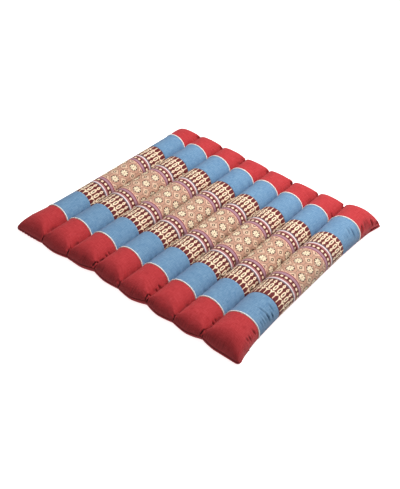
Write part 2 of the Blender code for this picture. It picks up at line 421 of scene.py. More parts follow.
def cap_row(end, angle):
    """One row of the rounded end, from the level top down to the hem."""
    turn = math.radians(angle)
    crest_round = NEAR_ROUND if end < 0 else FAR_ROUND
    corner_round = NEAR_CORNER_ROUND if end < 0 else FAR_CORNER_ROUND
    xz, closeness = section(end * mix(STITCH_END, TUCK_TOP, ease(angle / PUFFED_AT)), turn)
    to = even_x(xz)
    xs = [mix(x, hem_x, math.sin(turn) ** EVENED_LATE) for (x, _), hem_x in zip(xz, to)]
    row = []
    for x, (_, z), near in zip(xs, xz, closeness):
        reach, hem = hem_at(x, end)
        from_side = min(max(min(x - xs[0], xs[-1] - x) / corner_round, 0.0), 1.0)
        cut_off = 1 - math.sqrt(1 - (1 - from_side) ** 2)
        rounding = mix(crest_round, LINE_ROUND, near**2)
        y = end * (reach - corner_round * cut_off - rounding * (1 - math.sin(turn)))
        row.append((x, y, hem + (z - hem) * math.cos(turn)))
    return row


def cut_cover():
    """The rows of the cover, with y from MIDDLE_Y."""
    return np.array([
        cap_row(-1 if y < 0 else 1, angle) if angle > 0 else [(x, y, z) for x, z in section(y)[0]]
        for y, angle in ROWS
    ])


cover_points = cut_cover()
print("cover grid", cover_points.shape)


# %% [markdown]
# ## Blowing the cover up
#
# The stuffing pushes the cloth out against its stitching. Blender's Cloth does that with a
# pressure, while the stitches and the hem are pinned. Where a sewer had cloth to spare, as at
# the ends and beside every second line, a negative shrink hands the solver some extra cloth,
# and it has to find its own tucks. The result is applied, so what stays is a plain mesh.

# %% The cover as a mesh
ROW_COUNT, COLUMN_COUNT = cover_points.shape[:2]
LINE_COLUMNS = list(np.cumsum(COLUMNS)[:-1])


def quad_faces(index):
    """The quads of a grid of point numbers, facing up."""
    return np.stack([index[:-1, :-1], index[:-1, 1:], index[1:, 1:], index[1:, :-1]], -1).reshape(-1, 4)


def grid_mesh(name, points):
    """A mesh of one quad for each cell of a table of points."""
    rows, columns = points.shape[:2]
    quads = quad_faces(np.arange(rows * columns).reshape(rows, columns))
    mesh = bpy.data.meshes.new(name)
    mesh.from_pydata(points.reshape(-1, 3).tolist(), [], quads.tolist())
    return mesh


placed = cover_points + np.array([0, MIDDLE_Y, 0])
cover = bpy.data.objects.new("cushion_cover", grid_mesh("cushion_cover", placed))
bpy.context.scene.collection.objects.link(cover)
print("cover", len(cover.data.vertices), "points")

# %% Pins and spare cloth
PIN_END = 3.66 * PITCH
SPARE_AT_PUCKER = 1.0
SPARE_AT_END = 0.45
SPARE_AT_SIDE = 0.3
SPARE_FROM = 3.3 * PITCH
SPARE_OVER = 0.4 * PITCH
SPARE_BESIDE = 0.40 * PITCH
SIDE_FROM_LINE = 0.7 * PITCH
SIDE_OVER = 0.3 * PITCH
SHRINK_LEVELS = 10
PUCKERED_LINES = (2, 4, 6)


def pinned_points():
    """Stitched lines as far as they are sewn, and the hem all round."""
    held = np.zeros((ROW_COUNT, COLUMN_COUNT), bool)
    held[[0, -1], :] = True
    held[:, [0, -1]] = True
    for column in LINE_COLUMNS:
        held[:, column] |= abs(cover_points[:, column, 1]) < PIN_END
    return held.ravel()


def bell(value, middle, half_width):
    """1 at the middle, 0 past the half width, smooth between."""
    return 0.5 + 0.5 * np.cos(math.pi * np.clip((value - middle) / half_width, -1, 1))


def spare_cloth():
    """Share of the extra cloth at each point, from 0 to 1."""
    x, y = cover_points[..., 0], cover_points[..., 1]
    near_end = np.clip((abs(y) - SPARE_FROM) / SPARE_OVER, 0, 1)
    spare = SPARE_AT_END * near_end
    for number in PUCKERED_LINES:
        close = bell(x, line_x(number), SPARE_BESIDE) * (y < -SPARE_FROM)
        spare = np.maximum(spare, SPARE_AT_PUCKER * close)
    outer = np.clip((x - line_x(LINES - 1) - SIDE_FROM_LINE) / SIDE_OVER, 0, 1)
    return np.maximum(spare, SPARE_AT_SIDE * outer).ravel()


held = pinned_points()
spare = spare_cloth()
pins = cover.vertex_groups.new(name="pins")
pins.add(np.flatnonzero(held).tolist(), 1.0, "REPLACE")
extra = cover.vertex_groups.new(name="extra")
for level in range(1, SHRINK_LEVELS + 1):
    chosen = np.flatnonzero(np.round(spare * SHRINK_LEVELS) == level)
    extra.add(chosen.tolist(), level / SHRINK_LEVELS, "REPLACE")
print(int(held.sum()), "pinned points,", int((spare > 0.05).sum()), "with cloth to spare")

# %% Cloth
PRESSURE = 4.0
LAST_FRAME = 20
MOST_MOVED = 0.008
MOST_SPARE = -0.12

cloth = cover.modifiers.new("stuffing", "CLOTH")
settings = cloth.settings
settings.quality = 6
settings.mass = 0.15
settings.tension_stiffness = settings.compression_stiffness = 15
settings.shear_stiffness = 5
settings.bending_stiffness = 0.02
settings.tension_damping = settings.compression_damping = settings.shear_damping = 5
settings.use_pressure = True
settings.uniform_pressure_force = PRESSURE
settings.effector_weights.gravity = 0
settings.vertex_group_mass = "pins"
settings.vertex_group_shrink = "extra"
settings.shrink_min = 0.0
settings.shrink_max = MOST_SPARE
cloth.collision_settings.use_collision = False
cloth.point_cache.frame_start = 1
cloth.point_cache.frame_end = LAST_FRAME


def blown_up():
    """The cover's points after the cloth has run."""
    for number in range(1, LAST_FRAME + 1):
        bpy.context.scene.frame_set(number)
    evaluated = cover.evaluated_get(bpy.context.evaluated_depsgraph_get())
    points = np.empty(placed.size)
    evaluated.data.vertices.foreach_get("co", points)
    bpy.context.scene.frame_set(1)
    return points.reshape(-1, 3)


flat = placed.reshape(-1, 3)
moved = blown_up().reshape(-1, 3) - flat
distance = np.linalg.norm(moved, axis=-1, keepdims=True)
blown = (flat + moved * np.minimum(1, MOST_MOVED / np.maximum(distance, 1e-9))).reshape(placed.shape)
cover.modifiers.remove(cloth)
print("the cloth moved up to", round(1000 * distance.max(), 1), "mm")

# %% [markdown]
# ## A finer cover
#
# One subdivision would round the finished cloth, but it would also pull the stitched lines out
# of their creases. Each channel is resampled by itself instead, with a smooth curve through the
# solved points, so a line of stitching stays a sharp fold. The rows can go anywhere, and they
# crowd where the seams and the small creases are.

# %% Rows along the cloth
MIDDLE_CREST = COLUMNS[0] + 5 * COLUMNS[1] // 2


def along_cloth():
    """v of each row, in pitches: y on the level top, then the length of the rounded end."""
    ys = np.array([y for y, _ in ROWS]) / PITCH
    crest = placed[:, MIDDLE_CREST]
    near_cap = list(range(CAP_ROWS, -1, -1))
    far_cap = list(range(ROW_COUNT - 1 - CAP_ROWS, ROW_COUNT))
    for rows, level in ((near_cap, -NEAR_LEVEL), (far_cap, FAR_LEVEL)):
        steps = np.linalg.norm(np.diff(crest[rows], axis=0), axis=1).cumsum() / PITCH
        ys[rows[1:]] = level / PITCH + math.copysign(1, level) * steps
    return ys


row_v = along_cloth()
channel_start = [0] + LINE_COLUMNS
print("v runs from", round(row_v[0], 2), "to", round(row_v[-1], 2), "pitches")

# %% Resampling
FINE_COLUMNS = (34, 32, 46, 32, 46, 36, 46, 68)
CROWDING = 0.35
SEAMS = (-PIPING_SEAM, -WOVEN_SEAM, WOVEN_SEAM, PIPING_SEAM)
SEAM_ROWS = [m / PITCH for m in (-0.0030, -0.0012, 0.0, 0.0012, 0.0030)]
SEAM_CLEARANCE = 0.036

# Stretches of the finished cover: where each ends, in pitches, and the step between its rows.
STRETCHES = (
    (row_v[0] + 0.16, 0.016),
    (-3.55, 0.020),
    (-3.10, 0.024),
    (-2.75, 0.032),
    (-2.05, 0.018),
    (1.95, 0.090),
    (2.50, 0.050),
    (3.10, 0.032),
    (3.60, 0.030),
    (row_v[-1], 0.020),
)


def fine_rows():
    """v of each finished row, in pitches, with five rows of its own at each seam."""
    values = [row_v[-1]]
    start = row_v[0]
    for stop, step in STRETCHES:
        values += spread(start, stop, step)
        start = stop
    seams = [seam / PITCH for seam in SEAMS]
    kept = [v for v in values if min(abs(v - seam) for seam in seams) > SEAM_CLEARANCE]
    return np.array(sorted(kept + [seam + off for seam in seams for off in SEAM_ROWS]))


def fine_columns(channel):
    """Where the finished columns of a channel lie among its first ones. They crowd a little
    beside the stitching."""
    share = np.arange(FINE_COLUMNS[channel] + 1) / FINE_COLUMNS[channel]
    return COLUMNS[channel] * (share - CROWDING * np.sin(2 * math.pi * share) / (2 * math.pi))


def smooth_sample(table, at):
    """The table's rows at fractional indices, along a Catmull-Rom curve through them."""
    last = len(table) - 1
    base = np.clip(np.floor(at).astype(int), 0, last - 1)
    t = (at - base).reshape((-1,) + (1,) * (table.ndim - 1))
    a, b = table[base], table[base + 1]
    has_before = (base > 0).reshape(t.shape)
    has_after = (base + 2 <= last).reshape(t.shape)
    before = np.where(has_before, table[np.maximum(base - 1, 0)], 2 * a - b)
    after = np.where(has_after, table[np.minimum(base + 2, last)], 2 * b - a)
    bend = 2 * before - 5 * a + 4 * b - after + t * (3 * (a - b) + after - before)
    return a + 0.5 * t * (b - before + t * bend)


def finer(table, v_rows):
    """A table of the grid's points at the finished rows and columns."""
    rows = smooth_sample(table, np.interp(v_rows, row_v, np.arange(ROW_COUNT)))
    parts = []
    for channel, (start, count) in enumerate(zip(channel_start, COLUMNS)):
        piece = rows[:, start:start + count + 1].swapaxes(0, 1)
        fine = smooth_sample(piece, fine_columns(channel)).swapaxes(0, 1)
        parts.append(fine if start == 0 else fine[:, 1:])
    return np.concatenate(parts, 1)


v_rows = fine_rows()
top = finer(blown, v_rows)
fine_lines = list(np.cumsum(FINE_COLUMNS)[:-1])
print("finer cover", top.shape, "quads", (top.shape[0] - 1) * (top.shape[1] - 1))


# %% [markdown]
# ## The seams, the underside and the hem
#
# The panels meet in seams that pull the cloth in by about a millimetre, so the rows that lie on
# a seam are lowered along the surface's own normals.
#
# Underneath, the cushion lies flat on the floor, and the same seven lines of stitching pull
# seven grooves up into it. That shape is a formula of the distance from the stitching and from
# the hem, so it needs no simulation. A Delaunay triangulation fills the hem's outline with
# points wherever the formula needs them, and the sheet that comes out shares its rim with the
# top. The cover is then one closed bag.

# %% Seams pulled in
SEAM_DIP = 0.0011
SEAM_HALF_WIDTH = 0.0030


def grid_normals(points):
    """Unit normals of a grid of points, pointing up and out."""
    normals = np.cross(np.gradient(points, axis=1), np.gradient(points, axis=0))
    return normals / np.maximum(np.linalg.norm(normals, axis=-1, keepdims=True), 1e-12)


dip = sum(bell(v_rows * PITCH, seam, SEAM_HALF_WIDTH) for seam in SEAMS)
top = top - grid_normals(top) * (SEAM_DIP * dip)[:, None, None]
print("rows on a seam:", int((dip > 0.99).sum()))

# %% [markdown]
# ## Creases where the sewer's hands left them
#
# The solver's folds are soft and fall where they like. The creases that make this cushion
# itself are small and sharp: short tucks where the lines of stitching meet the hem, deepest at
# every second one, a few dimples up the flank beside those, gathers that run up from the hem,
# and pleats on the outer side. Each is a trough, or a few side by side, placed one by one in the
# cloth's own lengths: how far it lies from a line of stitching and how far along it. Cloth that
# goes down in a trough must come up beside it, so each trough has a low ridge on either side.

# %% Lengths across the cloth
def crest_distance(channel):
    """How far each finished column of a channel lies from its crest along the cloth, in
    pitches."""
    _, at_crest = channel_section(channel, 0.0, 0.0)
    return np.interp(fine_columns(channel), np.arange(COLUMNS[channel] + 1), at_crest) / PITCH


def lengths_across():
    """How far each finished column lies from the left hem along the cloth, in pitches."""
    lengths = [np.array([0.0])]
    for channel in range(CHANNELS):
        from_crest = crest_distance(channel)
        lengths.append(lengths[-1][-1] + from_crest[1:] - from_crest[0])
    return np.concatenate(lengths)


across = lengths_across()
print("lines of stitching along the cloth, in pitches:", [round(v, 2) for v in across[fine_lines]])

# %% The creases
# Line counts the lines of stitching from 1, across is the distance from it in pitches, v the
# distance from the middle. A turn of 0 runs along the channels and 90 across them. A crease
# with a count is a row of that many, a spacing apart, set side by side.
Crease = namedtuple("Crease", "line across v turn length half_width depth count spacing")
CREASES = (
    # Short tucks where the stitching meets the near hem.
    Crease(1, 0.00, -4.10, 0, 0.80, 0.045, 0.0030, 1, 0),
    Crease(2, 0.00, -4.10, 0, 0.80, 0.050, 0.0040, 1, 0),
    Crease(3, -0.03, -4.08, 4, 0.80, 0.035, 0.0046, 2, 0.115),
    Crease(4, 0.00, -4.15, 0, 0.75, 0.045, 0.0032, 1, 0),
    Crease(5, -0.03, -4.10, -3, 0.80, 0.035, 0.0044, 2, 0.120),
    Crease(6, 0.00, -4.12, 0, 0.75, 0.045, 0.0030, 1, 0),
    Crease(7, -0.02, -4.12, 3, 0.85, 0.035, 0.0046, 2, 0.120),
    # Dimples up the flank beside the gathered lines.
    Crease(3, -0.15, -3.60, 76, 0.20, 0.026, 0.0024, 4, 0.150),
    Crease(5, -0.15, -3.62, 78, 0.20, 0.026, 0.0024, 3, 0.150),
    Crease(7, -0.15, -3.60, 80, 0.20, 0.026, 0.0024, 3, 0.150),
    Crease(1, -0.14, -3.74, 78, 0.16, 0.026, 0.0010, 2, 0.160),
    Crease(2, -0.14, -3.78, 78, 0.18, 0.026, 0.0018, 3, 0.120),
    # Gathers that run up from the near hem.
    Crease(2, 0.34, -4.20, -3, 0.40, 0.028, 0.0010, 6, 0.080),
    Crease(3, -0.46, -4.22, 2, 0.50, 0.028, 0.0013, 8, 0.082),
    Crease(3, 0.34, -4.20, -3, 0.42, 0.028, 0.0012, 5, 0.085),
    Crease(4, -0.40, -4.24, 2, 0.40, 0.028, 0.0009, 6, 0.080),
    Crease(5, -0.46, -4.22, 2, 0.50, 0.028, 0.0013, 8, 0.082),
    Crease(5, 0.40, -4.20, -3, 0.48, 0.028, 0.0013, 6, 0.085),
    Crease(6, 0.42, -4.22, -3, 0.46, 0.028, 0.0012, 6, 0.085),
    Crease(7, -0.44, -4.22, 2, 0.40, 0.028, 0.0010, 6, 0.082),
    Crease(7, 0.60, -4.26, -2, 0.36, 0.028, 0.0008, 8, 0.095),
    # Pleats on the outer side of the last channel, from near to far.
    Crease(7, 1.50, -3.65, 84, 0.26, 0.022, 0.0020, 1, 0),
    Crease(7, 1.54, -3.52, 82, 0.34, 0.024, 0.0028, 1, 0),
    Crease(7, 1.54, -3.43, 78, 0.24, 0.020, 0.0014, 1, 0),
    Crease(7, 1.50, -3.27, 72, 0.42, 0.024, 0.0030, 1, 0),
    Crease(7, 1.46, -2.76, 84, 0.46, 0.030, 0.0012, 3, 0.100),
    Crease(7, 1.48, -2.49, 86, 0.46, 0.027, 0.0034, 1, 0),
    Crease(7, 1.20, -2.54, 80, 0.40, 0.030, 0.0014, 1, 0),
    Crease(7, 1.55, -2.30, 84, 0.34, 0.024, 0.0028, 1, 0),
    Crease(7, 1.32, -2.21, 92, 0.40, 0.030, 0.0014, 1, 0),
    Crease(7, 1.42, -0.90, 88, 0.30, 0.050, 0.0008, 3, 0.210),
    Crease(7, 1.36, 2.30, 100, 0.36, 0.036, 0.0010, 2, 0.120),
    Crease(7, 1.26, 2.56, 108, 0.46, 0.036, 0.0016, 1, 0),
    Crease(7, 1.40, 2.72, 92, 0.50, 0.036, 0.0038, 1, 0),
    Crease(7, 1.42, 2.87, 92, 0.40, 0.032, 0.0016, 2, 0.100),
    Crease(7, 1.52, 3.22, 114, 0.38, 0.042, 0.0050, 1, 0),
    Crease(7, 1.48, 3.46, 100, 0.40, 0.034, 0.0026, 2, 0.100),
    Crease(7, 1.59, 3.67, 86, 0.38, 0.044, 0.0066, 1, 0),
    Crease(7, 1.62, 4.06, 90, 0.36, 0.044, 0.0066, 1, 0),
    Crease(7, 1.87, 3.86, 0, 0.90, 0.040, 0.0036, 1, 0),
    # The far end: tucks at the stitching, and short folds across the flank beside each.
    Crease(1, 0.00, 4.10, 0, 0.70, 0.045, 0.0030, 1, 0),
    Crease(2, 0.00, 4.10, 0, 0.70, 0.045, 0.0030, 1, 0),
    Crease(3, 0.00, 4.10, 0, 0.70, 0.040, 0.0036, 2, 0.110),
    Crease(4, 0.00, 4.10, 0, 0.70, 0.045, 0.0030, 1, 0),
    Crease(5, 0.00, 4.10, 0, 0.70, 0.040, 0.0036, 2, 0.110),
    Crease(6, 0.00, 4.10, 0, 0.70, 0.045, 0.0030, 1, 0),
    Crease(7, 0.00, 4.10, 0, 0.75, 0.040, 0.0036, 2, 0.120),
    Crease(1, -0.16, 3.86, 60, 0.24, 0.026, 0.0014, 3, 0.100),
    Crease(2, -0.17, 3.84, 64, 0.28, 0.026, 0.0020, 4, 0.095),
    Crease(3, -0.17, 3.66, 70, 0.30, 0.024, 0.0016, 3, 0.130),
    Crease(4, -0.17, 3.88, 58, 0.26, 0.026, 0.0018, 4, 0.085),
    Crease(5, -0.17, 3.90, 62, 0.30, 0.026, 0.0024, 5, 0.085),
    Crease(6, -0.16, 3.94, 60, 0.26, 0.026, 0.0018, 3, 0.095),
    Crease(7, -0.17, 3.92, 58, 0.28, 0.026, 0.0022, 4, 0.090),
    Crease(3, 0.45, 4.20, 2, 0.36, 0.032, 0.0007, 6, 0.100),
    Crease(5, 0.45, 4.20, -2, 0.36, 0.032, 0.0007, 6, 0.100),
)
RIDGE_SHARE = 0.38
RIDGE_PLACE = 2.0
UNEVEN = 0.18


def sink(crease, chances):
    """How far a crease lowers each point of the finished cover."""
    away_u = across - across[fine_lines[crease.line - 1]] - crease.across
    turn = math.radians(crease.turn)
    along = v_rows[:, None] * math.cos(turn) - crease.v * math.cos(turn) + away_u * math.sin(turn)
    beside = away_u * math.cos(turn) - (v_rows[:, None] - crease.v) * math.sin(turn)
    depth = np.zeros(along.shape)
    for number in range(crease.count):
        shift, longer, deeper = 1 + UNEVEN * chances.uniform(-1, 1, 3)
        place = (number - (crease.count - 1) / 2) * crease.spacing
        off = (beside - place - crease.spacing * (shift - 1)) / crease.half_width
        tapered = bell(along, 0, crease.length / 2 * longer)
        sides = np.exp(-((abs(off) - RIDGE_PLACE) ** 2))
        depth += crease.depth * deeper * tapered * (np.exp(-(off**2)) - RIDGE_SHARE * sides)
    return depth


# %% Puckers beside the stitching
PUCKER_DEPTH = 0.0016
PUCKER_REACH = 0.13
PUCKER_LENGTHS = (0.21, 0.29, 0.43)
PUCKER_TAIL = 3
PUCKERS_IN_COTTON = 0.2
PUCKERS_FADE = 0.1


def puckers(chances):
    """Small hollows along both sides of each line of stitching, where the thread pulls."""
    sunk = np.zeros((len(v_rows), len(across)))
    for column in fine_lines:
        away = across - across[column]
        for side in (-1, 1):
            waves = sum(
                np.sin(2 * math.pi * (v_rows / length + chances.uniform())) for length in PUCKER_LENGTHS
            )
            beside = np.clip(side * away / PUCKER_REACH, 0, PUCKER_TAIL)
            sunk += waves[:, None] * (beside * np.exp(1 - beside**2))[None]
    in_brocade = np.clip((WOVEN_SEAM / PITCH - abs(v_rows)) / PUCKERS_FADE, PUCKERS_IN_COTTON, 1)
    return PUCKER_DEPTH * in_brocade[:, None] * sunk


chances = np.random.default_rng(7)
sunk = sum(sink(crease, chances) for crease in CREASES)
normals = grid_normals(top)
pulled = puckers(chances)
top = top - normals * (sunk + pulled)[..., None]
print(sum(crease.count for crease in CREASES), "creases, up to", round(1000 * sunk.max(), 1), "mm deep")

# %% The seam of the hem
HEM_SEAM_ABOVE = 0.050
HEM_SEAM_HALF_WIDTH = 0.030
HEM_SEAM_DEPTH = 0.0022
HEM_SEAM_CLIMB = {2: 0.075, 4: 0.075, 6: 0.035}


def seam_above_hem():
    """How far the seam of the near hem lies above it at each column, in pitches. It climbs
    towards the gathered lines."""
    above = np.full(len(across), HEM_SEAM_ABOVE)
    for channel, climb in HEM_SEAM_CLIMB.items():
        start, stop = fine_lines[channel - 1], fine_lines[channel]
        above[start:stop + 1] += climb * np.linspace(0, 1, stop - start + 1) ** 2
    return above


near_hem = bell(v_rows[:, None] - row_v[0], seam_above_hem(), HEM_SEAM_HALF_WIDTH)
far_hem = bell(row_v[-1] - v_rows[:, None], HEM_SEAM_ABOVE, HEM_SEAM_HALF_WIDTH)
side_hem = bell(np.minimum(across, across[-1] - across)[None, :], HEM_SEAM_ABOVE, HEM_SEAM_HALF_WIDTH)
groove = HEM_SEAM_DEPTH * np.maximum(np.maximum(near_hem, far_hem), side_hem)
groove[[0, -1], :] = 0
groove[:, [0, -1]] = 0
top = top - normals * groove[..., None]
print("hem seam:", int((groove > HEM_SEAM_DEPTH / 2).sum()), "points")

# %% [markdown]
# ## Shade painted into tight folds
#
# In a stitched crease the cloth is pressed together, and light hardly gets in. A mesh fine
# enough to hold that slit would be far too heavy, so each point of the cover keeps a number
# instead: how tightly the cloth is folded there. The cloths below read it as an attribute and
# grow darker, a shade painted into their colour, which makes the finest tucks crisp at any
# distance.

# %% Tightness of the folds, for painted shade
# How strong the painted shade is at each kind of fold, and how deep a crease or pucker must be for it to be
# full.
FOLD_OF_LINE = 0.85
FOLD_AT_HEM = 1.0
FOLD_AT_CREASE = 0.0032
FOLD_AT_PUCKER = 0.0055
FOLD_OF_SEAM = 0.70
TIGHTEST_CREASE = 0.9
HEM_FOLDS_FROM = 3.80
HEM_FOLDS_OVER = 0.15


def folded():
    """How tightly the cloth is folded at each point of the top, from 0 to 1: the strength of the
    shade painted into the cloth's colour there.
    """
    # Painted shade in the creases and puckers, in the seam of the hem, along every line of stitching and
    # beside each piping cord.
    fold_shade = np.clip(sunk / FOLD_AT_CREASE, 0, TIGHTEST_CREASE)
    fold_shade = np.maximum(fold_shade, pulled / FOLD_AT_PUCKER)
    fold_shade = np.maximum(fold_shade, FOLD_OF_SEAM * groove / HEM_SEAM_DEPTH)
    at_hem = np.clip((abs(v_rows) - HEM_FOLDS_FROM) / HEM_FOLDS_OVER, 0, 1)
    of_line = mix(FOLD_OF_LINE, FOLD_AT_HEM, at_hem)
    # A painted dark line of shade along each line of stitching, darkest close to the hem.
    for column in fine_lines:
        fold_shade[:, column] = np.maximum(fold_shade[:, column], of_line)
    # A painted line of shade in the row beside each piping cord.
    for seam in (-PIPING_SEAM, PIPING_SEAM):
        beside_cord = seam / PITCH + math.copysign(SEAM_ROWS[3], seam)
        row = int(np.argmin(abs(v_rows - beside_cord)))
        fold_shade[row] = np.maximum(fold_shade[row], FOLD_OF_SEAM)
    return fold_shade


fold_shade = folded()
print("folded tighter than half:", int((fold_shade > 0.5).sum()), "points")

# %% The underside
UNDER_ROUND = 0.14 * PITCH
GROOVE_HALF_WIDTH = 0.24 * PITCH
GROOVE_TOP = 0.0112
GROOVE_FADE = (3.62 * PITCH, 4.05 * PITCH)
INSETS = (0.08, 0.25, 0.5, 0.8, 1.0)
GROOVE_STEPS = (-1, -0.85, -0.6, -0.35, -0.15, 0, 0.15, 0.35, 0.6, 0.85, 1)
UNDER_ROW = 0.30 * PITCH
UNDER_ENDS = (-4.3 * PITCH, 4.5 * PITCH)
RIM_CLEARANCE = 0.0006
AHEAD = 3
SAME_POINT = 1e-7
INNER_CLEARANCE = 1.15 * UNDER_ROUND

rows, columns = top.shape[:2]
top_index = np.arange(rows * columns).reshape(rows, columns)
hem_loop = np.concatenate([top_index[0, :-1], top_index[:-1, -1], top_index[-1, :0:-1], top_index[:0:-1, 0]])
hem_points = top.reshape(-1, 3)[hem_loop]


def away_from_hem(points):
    """Distance from the hem's outline, and the hem's height at its nearest point."""
    gap = np.linalg.norm(points[:, None] - hem_points[None, :, :2], axis=-1)
    nearest = gap.argmin(1)
    return gap.min(1), hem_points[nearest, 2]


def under_height(points):
    """Height of the underside: flat, pulled up at each line of stitching, and rounded up to
    the hem."""
    start, stop = GROOVE_FADE
    fade = np.array([1 - ease((abs(y - MIDDLE_Y) - start) / (stop - start)) for y in points[:, 1]])
    off_line = np.min([abs(points[:, 0] - line_x(n)) for n in range(LINES)], axis=0)
    close = np.clip(1 - off_line / GROOVE_HALF_WIDTH, 0, 1)
    groove = GROOVE_TOP * fade * (1 - np.sqrt(1 - close**2))
    away, hem = away_from_hem(points)
    inside = np.sqrt(1 - (1 - np.clip(away / UNDER_ROUND, 0, 1)) ** 2)
    return mix(hem, groove, inside)


def under_points():
    """Points inside the hem: some that follow the rim inwards, and rows that cross the grooves."""
    outline = hem_points[:, :2]
    ahead = np.roll(outline, -AHEAD, 0) - np.roll(outline, AHEAD, 0)
    inward = np.stack([-ahead[:, 1], ahead[:, 0]], 1) / np.linalg.norm(ahead, axis=1, keepdims=True)
    rim = np.concatenate([outline[::2] + inward[::2] * UNDER_ROUND * share for share in INSETS])
    xs = [line_x(n) + GROOVE_HALF_WIDTH * step for n in range(LINES) for step in GROOVE_STEPS]
    xs += list(np.arange(line_x(0) - PITCH, BOX_LOW[0], -PITCH / 2))
    xs += list(np.arange(line_x(LINES - 1) + PITCH, BOX_HIGH[0], PITCH / 2))
    ys = MIDDLE_Y + np.arange(*UNDER_ENDS, UNDER_ROW)
    inner = np.array([(x, y) for x in xs for y in ys])
    return rim, inner


rim, inner = under_points()
print(len(hem_loop), "points on the hem,", len(rim) + len(inner), "candidates inside")


def inside_outline(points):
    """Which points lie inside the hem's outline, by counting the edges that a ray crosses."""
    a, b = hem_points[:, :2], np.roll(hem_points[:, :2], -1, 0)
    x, y = points[:, :1], points[:, 1:]
    spans = (a[:, 1] > y) != (b[:, 1] > y)
    crossing = a[:, 0] + (y - a[:, 1]) * (b[:, 0] - a[:, 0]) / np.where(spans, b[:, 1] - a[:, 1], 1)
    return (spans & (x < crossing)).sum(1) % 2 == 1


def kept_points():
    """The candidates that are inside, clear of the hem, and clear of one another."""
    rim_kept = rim[inside_outline(rim) & (away_from_hem(rim)[0] > RIM_CLEARANCE)]
    inner_kept = inner[inside_outline(inner)]
    inner_kept = inner_kept[away_from_hem(inner_kept)[0] > INNER_CLEARANCE]
    return np.concatenate([rim_kept, inner_kept])


# %% One closed bag
def under_sheet():
    """Points and triangles of the underside. Points of the hem keep their index in the top."""
    outline = hem_points[:, :2]
    points = [Vector(p) for p in outline] + [Vector(p) for p in kept_points()]
    ring = [(n, (n + 1) % len(outline)) for n in range(len(outline))]
    flat_points, _, triangles, came_from, _, _ = delaunay_2d_cdt(points, ring, [], 0, SAME_POINT)
    sheet = np.array([tuple(p) for p in flat_points])
    index, added = [], []
    for point, origins in zip(sheet, came_from):
        on_hem = [o for o in origins if o < len(outline)]
        if on_hem:
            index.append(int(hem_loop[on_hem[0]]))
        else:
            index.append(rows * columns + len(added))
            added.append(point)
    hem_edges = {(int(a), int(b)) for a, b in zip(hem_loop, np.roll(hem_loop, -1))}
    within = inside_outline(sheet[np.array(triangles)].mean(1))
    faces = []
    for triangle, inside in zip(triangles, within):
        a, b, c = (index[v] for v in triangle)
        if inside and not hem_edges & {(b, a), (c, b), (a, c)}:
            faces.append((c, b, a))
    return np.array(added), faces


added, under_faces = under_sheet()
under = np.column_stack([added, np.maximum(under_height(added), 0)])
bag_points = np.concatenate([top.reshape(-1, 3), under])
top_faces = quad_faces(top_index).tolist()
bag = bpy.data.meshes.new("cushion_cover")
bag.from_pydata(bag_points.tolist(), [], top_faces + under_faces)
bag.shade_smooth()
check = bmesh.new()
check.from_mesh(bag)
open_edges = sum(not edge.is_manifold for edge in check.edges)
litres = 1000 * check.calc_volume()
check.free()
cut_mesh = cover.data
cover.data = bag
bpy.data.meshes.remove(cut_mesh)
cover.vertex_groups.clear()
print("bag:", len(bag.polygons), "faces,", round(litres, 1), "litres,", open_edges, "open edges")

# %% [markdown]
# ## The cloth's own map
#
# A woven pattern belongs to the cloth and not to the room, so it needs a UV map in the cloth's
# own lengths. Across the channels, u is the distance along the cloth, with the few millimetres
# that vanish in each crease; along them, v is the distance from the middle of the brocade. Both
# are in pitches, so that every measure in the weave reads as a share of one channel. The cloth
# slipped a little under the needle, so each channel shows its own stretch of the pattern.

# %% UV map in cloth coordinates
FLORET_PITCH = 0.468
FLORETS_FROM_CREST = (0.185, 0.175, 0.05, 0.012, 0.303, 0.27, 0.092, 0.32)
WEAVE_SLIPPED = (-0.055, -0.038, -0.030, -0.053, -0.015, -0.045, -0.010, 0.035)
CHANNEL_ADVANCE = 3 * FLORET_PITCH


def cloth_across():
    """u at the left and at the right side of each column of quads, and how far the weave has
    slipped along the channel there."""
    left, right, slipped = [], [], []
    for channel in range(CHANNELS):
        u = crest_distance(channel) - FLORETS_FROM_CREST[channel] + channel * CHANNEL_ADVANCE
        left.append(u[:-1])
        right.append(u[1:])
        slipped += [WEAVE_SLIPPED[channel]] * (len(u) - 1)
    return np.concatenate(left), np.concatenate(right), np.array(slipped)


def corner_coordinates():
    """u and v of each face corner: in cloth lengths on top, plain x and y underneath."""
    left, right, slipped = cloth_across()
    u = np.stack([left, right, right, left], -1)[None].repeat(rows - 1, 0)
    v = np.stack([v_rows[:-1], v_rows[:-1], v_rows[1:], v_rows[1:]], -1)[:, None] - slipped[None, :, None]
    on_top = np.stack([u, v], -1).reshape(-1, 2)
    below = bag_points[np.array(under_faces).ravel(), :2] - (0, MIDDLE_Y)
    return np.concatenate([on_top, below / PITCH])


# The painted shade of the folds, kept on the cover as an attribute; the underside has none.
fold_shade_attribute = bag.attributes.new("fold_shade", "FLOAT", "POINT")
fold_shade_attribute.data.foreach_set("value", np.concatenate([fold_shade.ravel(), np.zeros(len(added))]))
cloth_map = bag.uv_layers.new(name="cloth")
cloth_map.data.foreach_set("uv", corner_coordinates().ravel())
print("u of the stitched lines:", [round(u, 2) for u in cloth_across()[0][fine_lines]])


# %% [markdown]
# ## Writing a pattern as a formula
#
# A shader can hold a whole weave, but a tree of a hundred hand-placed Math nodes is unreadable.
# The small class below lets a socket be added and multiplied as if it were a number, and makes
# one Math node for each step, so the patterns can be written as sums.

